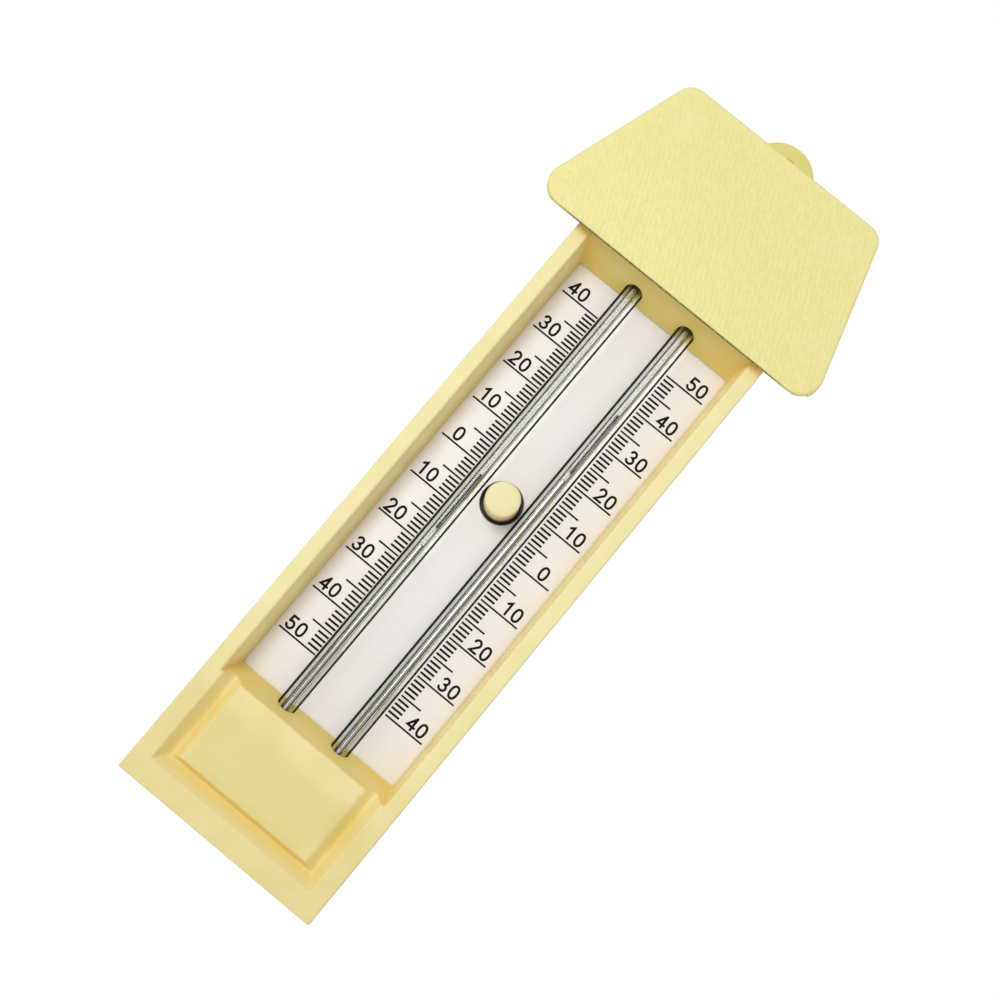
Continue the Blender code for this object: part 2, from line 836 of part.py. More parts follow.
# ==============================================================================
# cushions
# ==============================================================================
finish(box("bulb_cushion", (-15.0, 15.0), (-7.2, -2.3), (196.0, 210.0)), FOAM)
finish(box("tube_saddle", (-11.0, 11.0), (-15.7, -12.3), (18.6, 31.8)), FOAM)


# ==============================================================================
# screws
# ==============================================================================
def screw(name, x, h):
    """A pan-head screw driven in from the wall side; its profile's top is its tip."""
    made = turned(
        name,
        (
            (0.0, -SHANK_END_Y),
            (SHANK_R * 0.5, -SHANK_END_Y - 0.4),
            (SHANK_R, -SHANK_END_Y - 1.4),
            (SHANK_R, -HEAD_FRONT_Y),
            (HEAD_R, -HEAD_FRONT_Y),
            (HEAD_R, -HEAD_BACK_Y + 0.5),
            (HEAD_R - 0.5, -HEAD_BACK_Y),
            (0.0, -HEAD_BACK_Y),
        ),
        point(x, 0.0, h),
        "-Y",
        14,
    )
    cut(
        made,
        box(f"{name}_slot_a", (x - 1.5, x + 1.5), (-1.2, 1.0), (h - 0.3, h + 0.3), helper=True),
        box(f"{name}_slot_b", (x - 0.3, x + 0.3), (-1.21, 1.0), (h - 1.5, h + 1.5), helper=True),
    )
    return finish(made, SCREW_STEEL)


for index, (x, h) in enumerate(CASE_SCREWS):
    screw(f"cover_screw_{index + 1}", x, h)
for index, (x, h) in enumerate(HOOD_SCREWS):
    screw(f"hood_screw_{index + 1}", x, h)
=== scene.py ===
"""Looks of the push-button maximum minimum thermometer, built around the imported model.

Sizes below are in millimetres in the model's own layout: x to the reader's
right, y the depth (0 at the wall, negative towards the reader), h the height
above the case's lower edge. at() turns them into the frame, in metres.
"""

import math

import bmesh
import bpy
import numpy as np
from mathutils import Matrix, Quaternion, Vector, noise


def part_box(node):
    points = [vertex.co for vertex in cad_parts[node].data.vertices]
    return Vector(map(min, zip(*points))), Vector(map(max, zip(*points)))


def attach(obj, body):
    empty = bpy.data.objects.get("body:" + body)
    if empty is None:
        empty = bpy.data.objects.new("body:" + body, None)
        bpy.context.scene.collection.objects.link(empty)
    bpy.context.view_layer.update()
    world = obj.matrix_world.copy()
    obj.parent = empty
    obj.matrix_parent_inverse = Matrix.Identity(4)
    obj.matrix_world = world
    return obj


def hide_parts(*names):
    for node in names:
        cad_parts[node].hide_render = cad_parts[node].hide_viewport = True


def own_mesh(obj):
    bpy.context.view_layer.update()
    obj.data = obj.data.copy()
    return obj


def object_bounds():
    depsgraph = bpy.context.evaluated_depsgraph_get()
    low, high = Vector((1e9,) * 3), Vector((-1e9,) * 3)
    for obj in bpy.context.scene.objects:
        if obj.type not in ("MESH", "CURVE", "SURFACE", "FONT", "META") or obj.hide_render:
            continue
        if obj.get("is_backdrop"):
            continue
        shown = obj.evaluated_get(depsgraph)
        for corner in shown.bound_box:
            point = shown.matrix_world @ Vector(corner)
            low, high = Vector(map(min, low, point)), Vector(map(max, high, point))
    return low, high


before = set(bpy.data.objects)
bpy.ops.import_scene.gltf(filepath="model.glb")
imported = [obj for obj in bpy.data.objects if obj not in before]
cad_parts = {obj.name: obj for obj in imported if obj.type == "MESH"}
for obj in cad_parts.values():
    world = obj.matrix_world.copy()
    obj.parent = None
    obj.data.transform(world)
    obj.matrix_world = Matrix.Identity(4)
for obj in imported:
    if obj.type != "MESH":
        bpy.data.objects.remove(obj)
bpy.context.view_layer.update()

MM = 0.001
# The wall plane is y = 0 and the case's lower edge is the lowest point of the object.
LOW_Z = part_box("rear_cover")[0].z


def at(x, y, h):
    return Vector((x * MM, y * MM, LOW_Z + h * MM))


def extent(node):
    """A node's box in the layout's millimetres: (x, y, h) of its two corners."""
    low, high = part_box(node)
    return (
        (low.x / MM, low.y / MM, (low.z - LOW_Z) / MM),
        (high.x / MM, high.y / MM, (high.z - LOW_Z) / MM),
    )


CASE_LOW, CASE_HIGH = extent("front_case")
COVER_LOW, COVER_HIGH = extent("rear_cover")
HOOD_LOW, HOOD_HIGH = extent("rain_hood")
PLATE_LOW, PLATE_HIGH = extent("scale_plate")
BUTTON_LOW, BUTTON_HIGH = extent("reset_button")
THREAD_LOW, THREAD_HIGH = extent("mercury_thread")
SPRING_LOW, SPRING_HIGH = extent("return_spring")
CUSHION_LOW, CUSHION_HIGH = extent("bulb_cushion")
SADDLE_LOW, SADDLE_HIGH = extent("tube_saddle")

HALF_W = CASE_HIGH[0]
CASE_TOP = CASE_HIGH[2]
RIM_Y = CASE_LOW[1]
CASE_BACK_Y = CASE_HIGH[1]
PLATE_FRONT_Y, PLATE_BACK_Y = PLATE_LOW[1], PLATE_HIGH[1]
BUTTON_H = (BUTTON_LOW[2] + BUTTON_HIGH[2]) / 2
BUTTON_R = BUTTON_HIGH[0]
LIMB_X, LIMB_Y = 8.27, -18.5
GLASS_R, BORE_R = 2.5, 0.78
BEND_H = 28.0


# ==============================================================================
# camera, stage and light
# ==============================================================================
camera_data = bpy.data.cameras.new("camera")
camera_data.sensor_width = 36.0
camera_data.lens = 72.0
camera_data.clip_start, camera_data.clip_end = 0.01, 60.0
camera = bpy.data.objects.new("camera", camera_data)
camera.location = (0.0259452, -0.5016591, -0.0672456)
camera.rotation_mode = "QUATERNION"
camera.rotation_quaternion = Quaternion((0.6117298, 0.7150216, -0.2373831, 0.2412053))
bpy.context.scene.collection.objects.link(camera)
bpy.context.scene.camera = camera
bpy.context.scene.view_settings.view_transform = "Standard"

AMBIENT = 0.55

world = bpy.data.worlds.new("studio")
bpy.context.scene.world = world
world.use_nodes = True
tree = world.node_tree
tree.nodes.clear()
out = tree.nodes.new("ShaderNodeOutputWorld")
seen = tree.nodes.new("ShaderNodeBackground")
seen.inputs["Color"].default_value = (1.0, 1.0, 1.0, 1.0)
seen.inputs["Strength"].default_value = 1.0
lit = tree.nodes.new("ShaderNodeBackground")
lit.inputs["Color"].default_value = (1.0, 1.0, 1.0, 1.0)
lit.inputs["Strength"].default_value = AMBIENT
path = tree.nodes.new("ShaderNodeLightPath")
mix = tree.nodes.new("ShaderNodeMixShader")
tree.links.new(path.outputs["Is Camera Ray"], mix.inputs[0])
tree.links.new(lit.outputs[0], mix.inputs[1])
tree.links.new(seen.outputs[0], mix.inputs[2])
tree.links.new(mix.outputs[0], out.inputs["Surface"])


def area_light(name, place, aim, size, watts, colour=(1.0, 1.0, 1.0)):
    data = bpy.data.lights.new(name, "AREA")
    data.shape = "DISK"
    data.size = size
    data.energy = watts
    data.color = colour
    made = bpy.data.objects.new(name, data)
    made.location = place
    made.rotation_mode = "QUATERNION"
    made.rotation_quaternion = (Vector(aim) - Vector(place)).to_track_quat("-Z", "Y")
    bpy.context.scene.collection.objects.link(made)
    return made


area_light("key", (-0.40, -1.05, 0.27), (0.0, -0.02, 0.0), 0.60, 5.5, (1.0, 0.99, 0.975))
area_light("back_fill", (0.9, 1.5, 1.0), (0.0, 0.0, 0.0), 1.2, 14.0)


# ==============================================================================
# mesh helpers
# ==============================================================================
def link(made):
    bpy.context.scene.collection.objects.link(made)
    return made


def object_of(work, name, recalc=True):
    """An object of a bmesh, which is freed."""
    if recalc:
        bmesh.ops.recalc_face_normals(work, faces=work.faces)
    mesh = bpy.data.meshes.new(name)
    work.to_mesh(mesh)
    work.free()
    return link(bpy.data.objects.new(name, mesh))


def applied(made):
    """Bakes an object's modifiers into its mesh."""
    bpy.context.view_layer.update()
    graph = bpy.context.evaluated_depsgraph_get()
    mesh = bpy.data.meshes.new_from_object(made.evaluated_get(graph))
    old = made.data
    made.modifiers.clear()
    made.data = mesh
    mesh.name = made.name
    if old.users == 0:
        bpy.data.meshes.remove(old)
    return made


def combine(target, cutters, operation="DIFFERENCE"):
    """Joins or cuts target with other objects, which are removed."""
    for index, cutter in enumerate(cutters):
        step = target.modifiers.new(f"step_{index}", "BOOLEAN")
        step.operation = operation
        step.solver = "EXACT"
        step.object = cutter
    applied(target)
    for cutter in cutters:
        mesh = cutter.data
        bpy.data.objects.remove(cutter, do_unlink=True)
        if mesh.users == 0:
            bpy.data.meshes.remove(mesh)
    return target


def shade(made, angle=32.0, weighted=False):
    made.data.shade_smooth()
    made.data.set_sharp_from_angle(angle=math.radians(angle))
    if weighted:
        step = made.modifiers.new("flat_faces", "WEIGHTED_NORMAL")
        step.keep_sharp = True
        step.weight = 80
        applied(made)
    return made


def box(name, x, y, h):
    work = bmesh.new()
    bmesh.ops.create_cube(work, size=1.0)
    low, high = at(x[0], y[0], h[0]), at(x[1], y[1], h[1])
    size, middle = high - low, (high + low) / 2
    for vert in work.verts:
        vert.co = Vector(c * abs(s) for c, s in zip(vert.co, size)) + middle
    return object_of(work, name)


def soft_edges(work, edges, width, segments=3):
    bmesh.ops.bevel(
        work,
        geom=list(edges),
        offset=width * MM,
        offset_type="OFFSET",
        segments=segments,
        profile=0.5,
        affect="EDGES",
        clamp_overlap=True,
    )


def sharp_edges(work, degrees=30.0):
    limit = math.radians(degrees)
    return [
        e
        for e in work.edges
        if len(e.link_faces) == 2 and e.calc_face_angle(0.0) > limit
    ]


def lathe(name, profile, place, axis="Z", steps=48):
    """A turned solid. profile is (radius, distance along the axis) from one pole to the other."""
    turn = {
        "Z": Matrix.Identity(3),
        "-Y": Matrix.Rotation(math.pi / 2, 3, "X"),
        "X": Matrix.Rotation(math.pi / 2, 3, "Y"),
    }[axis]
    work = bmesh.new()
    rings = []
    for radius, along in profile:
        if radius < 1e-6:
            rings.append([work.verts.new(turn @ Vector((0.0, 0.0, along * MM)) + place)])
            continue
        ring = []
        for i in range(steps):
            angle = 2 * math.pi * i / steps
            co = Vector((radius * math.cos(angle) * MM, radius * math.sin(angle) * MM, along * MM))
            ring.append(work.verts.new(turn @ co + place))
        rings.append(ring)
    for a, b in zip(rings, rings[1:]):
        for i in range(steps):
            j = (i + 1) % steps
            corners = [a[i % len(a)], a[j % len(a)], b[j % len(b)], b[i % len(b)]]
            unique = []
            for vert in corners:
                if vert not in unique:
                    unique.append(vert)
            if len(unique) > 2:
                work.faces.new(unique)
    for ring in (rings[0], rings[-1]):
        if len(ring) > 1:
            work.faces.new(ring)
    return object_of(work, name)


def rounded(points, radius, count=5):
    """A turned profile with its inner corners rounded. points are (radius, along)."""
    made = [points[0]]
    for before, corner, after in zip(points, points[1:], points[2:]):
        p, a, b = Vector(corner), Vector(before), Vector(after)
        into, away = (a - p), (b - p)
        reach = min(radius, into.length * 0.49, away.length * 0.49)
        if reach < 1e-5 or into.angle(away) > math.radians(172):
            made.append(corner)
            continue
        start, end = p + into.normalized() * reach, p + away.normalized() * reach
        for i in range(count + 1):
            t = i / count
            made.append(tuple((1 - t) ** 2 * start + 2 * t * (1 - t) * p + t**2 * end))
    made.append(points[-1])
    return made


def sweep_into(work, path, radii, sides=24, caps=True):
    """A round tube along path (vectors in metres). radii is one radius or one for each point, in mm."""
    if isinstance(radii, (int, float)):
        radii = [radii] * len(path)
    tangents = []
    for i, p in enumerate(path):
        ahead = (path[i + 1] - p).normalized() if i + 1 < len(path) else None
        behind = (p - path[i - 1]).normalized() if i else None
        tangents.append(((ahead or behind) + (behind or ahead)).normalized())
    side = tangents[0].orthogonal().normalized()
    rings = []
    for i, (p, tangent, radius) in enumerate(zip(path, tangents, radii)):
        if i:
            side = tangents[i - 1].rotation_difference(tangent) @ side
        side = (side - tangent * side.dot(tangent)).normalized()
        other = tangent.cross(side)
        ring = []
        for k in range(sides):
            angle = 2 * math.pi * k / sides
            ring.append(
                work.verts.new(
                    p + (side * math.cos(angle) + other * math.sin(angle)) * radius * MM
                )
            )
        rings.append(ring)
    for a, b in zip(rings, rings[1:]):
        for k in range(sides):
            m = (k + 1) % sides
            work.faces.new((a[k], a[m], b[m], b[k]))
    if caps:
        for ring, p, tangent, radius, way in (
            (rings[0], path[0], tangents[0], radii[0], -1),
            (rings[-1], path[-1], tangents[-1], radii[-1], 1),
        ):
            pole = work.verts.new(p + tangent * way * radius * 0.02 * MM)
            for k in range(sides):
                m = (k + 1) % sides
                work.faces.new((ring[k], ring[m], pole))


def sweep(name, path, radii, sides=24):
    work = bmesh.new()
    sweep_into(work, path, radii, sides)
    return object_of(work, name)


def arc(cx, ch, radius, start, end, count):
    return [
        (
            cx + radius * math.cos(math.radians(start + (end - start) * i / count)),
            ch + radius * math.sin(math.radians(start + (end - start) * i / count)),
        )
        for i in range(count + 1)
    ]


def slab(name, outline, front_y, back_y, front_edge=0.0, back_edge=0.0, segments=3):
    """A prism of (x, h) points. front_y and back_y are depths or functions of h."""
    front_of = front_y if callable(front_y) else lambda h: front_y
    back_of = back_y if callable(back_y) else lambda h: back_y
    work = bmesh.new()
    front = [work.verts.new(at(x, front_of(h), h)) for x, h in outline]
    back = [work.verts.new(at(x, back_of(h), h)) for x, h in outline]
    work.faces.new(front)
    work.faces.new(list(reversed(back)))
    count = len(outline)
    for i in range(count):
        j = (i + 1) % count
        work.faces.new((front[j], front[i], back[i], back[j]))
    bmesh.ops.recalc_face_normals(work, faces=work.faces)
    for ring, width in ((front, front_edge), (back, back_edge)):
        if not width:
            continue
        edges = [work.edges.get((ring[i], ring[(i + 1) % count])) for i in range(count)]
        soft_edges(work, edges, width, segments)
        work.verts.ensure_lookup_table()
    return object_of(work, name)


def rod_y(name, x, h, radius, y, steps=32):
    return lathe(
        name,
        ((0.0, -y[0]), (radius, -y[0]), (radius, -y[1]), (0.0, -y[1])),
        at(x, 0.0, h),
        "-Y",
        steps,
    )


def rod_z(name, x, y, radius, h, steps=32):
    return lathe(
        name,
        ((0.0, h[1]), (radius, h[1]), (radius, h[0]), (0.0, h[0])),
        at(x, y, 0.0),
        "Z",
        steps,
    )


# ==============================================================================
# materials
# ==============================================================================
class Look:
    """A small builder of node materials; every texture reads the object's own coordinates."""

    def __init__(self, name):
        self.material = bpy.data.materials.new(name)
        self.material.use_nodes = True
        self.tree = self.material.node_tree
        self.shader = self.tree.nodes["Principled BSDF"]
        self.place = self.tree.nodes.new("ShaderNodeTexCoord").outputs["Object"]

    def set(self, **values):
        for key, value in values.items():
            self.shader.inputs[key.replace("_", " ")].default_value = value
        return self

    def link(self, source, target):
        self.tree.links.new(source, target)
        return source

    def node(self, kind, **values):
        made = self.tree.nodes.new(kind)
        for key, value in values.items():
            setattr(made, key, value)
        return made

    def noise(self, scale, detail=2.0, rough=0.5, stretch=None, turn=None, source=None):
        source = source or self.place
        if stretch or turn:
            mapping = self.node("ShaderNodeMapping")
            mapping.inputs["Scale"].default_value = stretch or (1.0, 1.0, 1.0)
            mapping.inputs["Rotation"].default_value = turn or (0.0, 0.0, 0.0)
            self.link(source, mapping.inputs["Vector"])
            source = mapping.outputs["Vector"]
        made = self.node("ShaderNodeTexNoise")
        made.inputs["Scale"].default_value = scale
        made.inputs["Detail"].default_value = detail
        made.inputs["Roughness"].default_value = rough
        self.link(source, made.inputs["Vector"])
        return made.outputs["Fac"]

    def wave(self, scale, turn, distortion=0.0, detail=0.0, kind="SIN"):
        mapping = self.node("ShaderNodeMapping")
        mapping.inputs["Rotation"].default_value = turn
        self.link(self.place, mapping.inputs["Vector"])
        made = self.node("ShaderNodeTexWave", wave_type="BANDS", bands_direction="X", wave_profile=kind)
        made.inputs["Scale"].default_value = scale
        made.inputs["Distortion"].default_value = distortion
        made.inputs["Detail"].default_value = detail
        self.link(mapping.outputs["Vector"], made.inputs["Vector"])
        return made.outputs["Fac"]

    def math(self, kind, a, b=0.0, c=None):
        made = self.node("ShaderNodeMath", operation=kind)
        for socket, value in zip(made.inputs, (a, b) if c is None else (a, b, c)):
            if isinstance(value, (int, float)):
                socket.default_value = value
            else:
                self.link(value, socket)
        return made.outputs[0]

    def span(self, source, low, high, out_low=0.0, out_high=1.0):
        made = self.node("ShaderNodeMapRange")
        made.clamp = True
        for key, value in (
            ("From Min", low),
            ("From Max", high),
            ("To Min", out_low),
            ("To Max", out_high),
        ):
            made.inputs[key].default_value = value
        self.link(source, made.inputs["Value"])
        return made.outputs["Result"]

    def blend(self, factor, a, b):
        made = self.node("ShaderNodeMix", data_type="RGBA")
        self.link(factor, made.inputs[0])
        for socket, value in ((made.inputs[6], a), (made.inputs[7], b)):
            if isinstance(value, tuple):
                socket.default_value = (*value, 1.0)
            else:
                self.link(value, socket)
        return made.outputs[2]

    def hollow(self, distance, samples=6):
        """How closed in a point is, from 0 in the open to 1 in a deep corner."""
        made = self.node("ShaderNodeAmbientOcclusion")
        made.samples = samples
        made.inputs["Distance"].default_value = distance * MM
        return self.math("SUBTRACT", 1.0, made.outputs["AO"])

    def turned_away(self):
        """From 0 where an upright tube faces the eye to 1 at its outline, however high the eye is."""
        facing = self.node("ShaderNodeLayerWeight")
        facing.inputs["Blend"].default_value = 0.5
        upright = self.node("ShaderNodeCombineXYZ")
        upright.inputs["Z"].default_value = 1.0
        along = self.node("ShaderNodeLayerWeight")
        along.inputs["Blend"].default_value = 0.5
        self.link(upright.outputs[0], along.inputs["Normal"])
        climb = self.math("SUBTRACT", 1.0, along.outputs["Facing"])
        level = self.math("SQRT", self.math("MAXIMUM", self.math("SUBTRACT", 1.0, self.math("MULTIPLY", climb, climb)), 0.02))
        front = self.math("DIVIDE", self.math("SUBTRACT", 1.0, facing.outputs["Facing"]), level)
        return self.math("SUBTRACT", 1.0, self.math("MINIMUM", front, 1.0))

    def bump(self, height, strength, distance):
        made = self.node("ShaderNodeBump")
        made.inputs["Strength"].default_value = strength
        made.inputs["Distance"].default_value = distance * MM
        self.link(height, made.inputs["Height"])
        self.link(made.outputs["Normal"], self.shader.inputs["Normal"])
        return self

    def colour(self, source):
        self.link(source, self.shader.inputs["Base Color"])
        return self

    def rough(self, source, low, high):
        self.link(self.span(source, 0.25, 0.75, low, high), self.shader.inputs["Roughness"])
        return self


def cream_plastic(name, pale, deep, shade_ochre, highlight_pale, weave=False, ends=False):
    look = Look(name)
    look.set(IOR=1.47, Subsurface_Weight=0.0)
    cloudy = look.span(look.noise(38.0, 3.0), 0.3, 0.7)
    flecks = look.span(look.noise(900.0, 2.0), 0.35, 0.8)
    base = look.blend(cloudy, pale, deep)
    base = look.blend(look.math("MULTIPLY", flecks, 0.05), base, tuple(c * 0.72 for c in deep))
    # painted highlight: paler where the moulding is thin or turns a corner, towards its front
    thin_edge_ao = look.node("ShaderNodeAmbientOcclusion", inside=True)
    thin_edge_ao.samples = 6
    thin_edge_ao.inputs["Distance"].default_value = 6.0 * MM
    edge_highlight = look.math("MULTIPLY", look.span(thin_edge_ao.outputs["AO"], 0.02, 0.45), look.span(look.noise(120.0, 4.0), 0.2, 0.7, 0.6, 1.0))
    ahead = look.node("ShaderNodeSeparateXYZ")
    look.link(look.place, ahead.inputs[0])
    edge_highlight = look.math("MULTIPLY", edge_highlight, look.span(ahead.outputs["Y"], -22.0 * MM, -17.0 * MM, 1.0, 0.0))
    base = look.blend(edge_highlight, base, highlight_pale)
    # painted shade: deep yellow in recesses and corners, where the closeness mask is high
    closed = look.hollow(7.0)
    base = look.blend(look.math("MINIMUM", look.span(closed, 0.08, 0.60), 0.68), base, shade_ochre)
    if ends:
        # painted shade: the two end walls of the recess, under the hood and above the lower panel, are painted a
        # deeper yellow than the rest
        spot = look.node("ShaderNodeSeparateXYZ")
        look.link(look.place, spot.inputs[0])
        facing = look.node("ShaderNodeNewGeometry")
        way = look.node("ShaderNodeSeparateXYZ")
        look.link(facing.outputs["Normal"], way.inputs[0])
        tilt = look.span(look.math("ABSOLUTE", way.outputs["Z"]), 0.12, 0.42)
        top = look.span(spot.outputs["Z"], at(0, 0, 160.0).z, at(0, 0, 165.0).z)
        low = look.math(
            "MULTIPLY",
            look.span(spot.outputs["Z"], at(0, 0, 40.0).z, at(0, 0, 38.0).z),
            look.span(spot.outputs["Z"], at(0, 0, 30.5).z, at(0, 0, 32.5).z),
        )
        inside = look.span(spot.outputs["Y"], RIM_Y * MM * 0.99, RIM_Y * MM * 0.97)
        low = look.math("MULTIPLY", low, 0.85)
        end_wall_shade = look.math("MULTIPLY", look.math("MULTIPLY", look.math("ADD", top, low), inside), tilt)
        end_wall_shade = look.math("MULTIPLY", end_wall_shade, look.span(look.noise(70.0, 3.0), 0.25, 0.7, 0.62, 0.92))
        base = look.blend(end_wall_shade, base, (0.86, 0.645, 0.16))
        # painted highlight: the two long walls of the recess are made lighter; the lower end of the moulding is also
        # made darker and yellower on its open faces
        side_wall_highlight = look.math(
            "MULTIPLY",
            look.span(look.math("ABSOLUTE", way.outputs["X"]), 0.80, 0.95),
            look.span(look.math("ABSOLUTE", spot.outputs["X"]), 25.4 * MM, 26.0 * MM, 1.0, 0.0),
        )
        for factor, colour in (
            (side_wall_highlight, (1.16, 1.09, 1.06)),
            (
                look.math(
                    "MULTIPLY",
                    look.span(spot.outputs["Z"], at(0, 0, 48.0).z, at(0, 0, 24.0).z),
                    look.span(closed, 0.04, 0.30, 1.0, 0.15),
                ),
                (0.925, 0.89, 0.78),
            ),
        ):
            highlight_and_tone = look.node("ShaderNodeMix", data_type="RGBA", blend_type="MULTIPLY")
            look.link(factor, highlight_and_tone.inputs[0])
            look.link(base, highlight_and_tone.inputs[6])
            highlight_and_tone.inputs[7].default_value = (*colour, 1.0)
            base = highlight_and_tone.outputs[2]
    look.colour(base)
    grain = look.noise(1500.0, 3.0, 0.6)
    look.rough(look.noise(260.0, 2.0), 0.41, 0.48)
    if weave:
        # painted shade: near black along the drip edge, on the faces that look down, most across the case's width
        edge = look.node("ShaderNodeNewGeometry")
        down = look.node("ShaderNodeSeparateXYZ")
        look.link(edge.outputs["Normal"], down.inputs[0])
        foot = look.node("ShaderNodeSeparateXYZ")
        look.link(look.place, foot.inputs[0])
        underside_shade = look.math(
            "MULTIPLY",
            look.span(down.outputs["Z"], -0.62, -0.86),
            look.span(foot.outputs["Z"], HOOD_LOW[2] * MM + LOW_Z + 0.0002, HOOD_LOW[2] * MM + LOW_Z + 0.0009, 1.0, 0.0),
        )
        centre = look.span(look.math("ABSOLUTE", foot.outputs["X"]), 0.030, 0.036, 1.0, 0.25)
        underside_shade = look.math("MULTIPLY", look.math("MULTIPLY", underside_shade, centre), look.span(look.noise(900.0, 2.0), 0.3, 0.6, 0.72, 1.0))
        base = look.blend(underside_shade, base, (0.035, 0.026, 0.012))
    if weave:
        # a fine linen emboss: short leaning ridges, a millimetre or so apart
        turn = look.node("ShaderNodeVectorRotate", rotation_type="Y_AXIS")
        turn.inputs["Angle"].default_value = math.radians(24)
        look.link(look.place, turn.inputs["Vector"])
        dashes = look.noise(1.0, 2.0, 0.6, (860.0, 860.0, 560.0), source=turn.outputs["Vector"])
        ribs = look.wave(250.0, (0.0, math.radians(24), 0.0), 3.0, 2.0)
        cloth = look.math("ADD", dashes, look.math("MULTIPLY", ribs, 0.16))
        # only the face is embossed, not the side walls
        face = look.node("ShaderNodeNewGeometry")
        part = look.node("ShaderNodeSeparateXYZ")
        look.link(face.outputs["Normal"], part.inputs[0])
        front = look.span(part.outputs["Y"], -0.97, -0.9, 1.0, 0.0)
        tone = look.math("MULTIPLY", look.span(cloth, 0.40, 0.72, 0.0, 0.44), look.math("MULTIPLY_ADD", front, 0.6, 0.4))
        base = look.blend(tone, base, tuple(min(1.0, c * 1.14) for c in pale))
        look.colour(base)
        cloth = look.math("MULTIPLY", cloth, front)
        cloth = look.math("ADD", cloth, look.math("MULTIPLY", grain, 0.35))
        look.bump(cloth, 0.7, 0.19)
    else:
        look.bump(grain, 0.25, 0.05)
    return look.material


CREAM = cream_plastic(
    "case_cream", (0.785, 0.728, 0.238), (0.76, 0.70, 0.215), (0.89, 0.605, 0.125), (0.965, 0.865, 0.475), ends=True
)
CREAM_HOOD = cream_plastic(
    "hood_cream", (0.858, 0.795, 0.322), (0.835, 0.765, 0.285), (0.84, 0.57, 0.125), (0.90, 0.825, 0.38), weave=True
)
CREAM_BUTTON = cream_plastic(
    "button_cream", (0.885, 0.775, 0.43), (0.86, 0.745, 0.39), (0.84, 0.60, 0.18), (0.91, 0.82, 0.46)
)


def plain_look(name, pale, deep, rough, metallic=0.0, scale=60.0, grain=900.0, depth=0.03, strength=0.3, **more):
    look = Look(name)
    look.set(Metallic=metallic, **more)
    look.colour(look.blend(look.span(look.noise(scale, 3.0), 0.3, 0.7), pale, deep))
    look.rough(look.noise(scale * 4.0, 3.0), rough * 0.8, min(1.0, rough * 1.25))
    look.bump(look.noise(grain, 2.0, 0.6), strength, depth)
    return look.material




def white_look():
    """White painted plate, with warm painted shade along its two long edges."""
    look = Look("scale_white")
    base = look.blend(look.span(look.noise(30.0, 3.0), 0.3, 0.7), (0.945, 0.925, 0.905), (0.92, 0.898, 0.882))
    spot = look.node("ShaderNodeSeparateXYZ")
    look.link(look.place, spot.inputs[0])
    # painted shade near the long walls of the recess, warm in tone
    rim = look.span(look.math("ABSOLUTE", spot.outputs["X"]), 20.3 * MM, 23.6 * MM)
    rim = look.math("MULTIPLY", rim, look.span(look.noise(90.0, 3.0), 0.3, 0.7, 0.45, 0.85))
    # the painted shade is weaker along the right-hand edge and towards the two ends
    rim = look.math("MULTIPLY", rim, look.span(spot.outputs["X"], -4.0 * MM, 4.0 * MM, 1.0, 0.4))
    away = look.math("ABSOLUTE", look.math("ADD", spot.outputs["Z"], 6.7 * MM))
    rim = look.math("MULTIPLY", rim, look.span(away, 40.0 * MM, 66.0 * MM, 1.0, 0.3))
    base = look.blend(rim, base, (0.875, 0.795, 0.625))
    # painted shade, near black, on the wall of the button's hole
    rise = look.math("SUBTRACT", spot.outputs["Z"], LOW_Z + BUTTON_H * MM)
    reach = look.math(
        "SQRT",
        look.math("ADD", look.math("MULTIPLY", spot.outputs["X"], spot.outputs["X"]), look.math("MULTIPLY", rise, rise)),
    )
    hole_shade = look.math("MULTIPLY", look.span(reach, 5.45 * MM, 5.6 * MM, 1.0, 0.0), look.span(look.noise(700.0, 2.0), 0.3, 0.7, 0.8, 1.0))
    look.colour(look.blend(hole_shade, base, (0.03, 0.028, 0.022)))
    look.rough(look.noise(120.0, 3.0), 0.34, 0.52)
    look.bump(look.noise(900.0, 2.0, 0.6), 0.3, 0.02)
    return look.material


WHITE = white_look()
INK = plain_look("printing_ink", (0.003, 0.003, 0.004), (0.010, 0.009, 0.010), 0.7, scale=400.0, depth=0.01)
INK.node_tree.nodes["Principled BSDF"].inputs["Specular IOR Level"].default_value = 0.15


def mercury_look():
    """Liquid metal, bright face on, with near black painted shade where it curves away against the glass."""
    look = Look("mercury")
    look.set(Metallic=1.0)
    face = look.blend(look.span(look.noise(90.0, 3.0), 0.3, 0.7), (0.84, 0.845, 0.85), (0.76, 0.765, 0.77))
    # painted shade along the thread's outline
    look.colour(look.blend(look.span(look.turned_away(), 0.22, 0.62), face, (0.06, 0.06, 0.065)))
    look.rough(look.noise(200.0, 2.0), 0.14, 0.20)
    look.bump(look.noise(200.0, 1.0), 0.03, 0.004)
    return look.material


MERCURY = mercury_look()
STEEL = plain_look("index_steel", (0.030, 0.034, 0.055), (0.020, 0.022, 0.032), 0.32, 0.6, 500.0, 1800.0, 0.01)
# near black; seen through the gap round the button, it stands in as painted shade
CARRIER = plain_look("carrier_grey", (0.075, 0.075, 0.073), (0.058, 0.058, 0.056), 0.5, scale=45.0, grain=1300.0)
MAGNET = plain_look("magnet_black", (0.045, 0.045, 0.047), (0.032, 0.032, 0.034), 0.72, scale=120.0, grain=1600.0, depth=0.05)
SPRING = plain_look("spring_steel", (0.56, 0.56, 0.575), (0.46, 0.46, 0.475), 0.28, 1.0, 260.0, 1800.0, 0.01)
FOAM = plain_look("foam_grey", (0.27, 0.27, 0.28), (0.20, 0.20, 0.21), 0.95, scale=700.0, grain=1500.0, depth=0.25, strength=0.9)


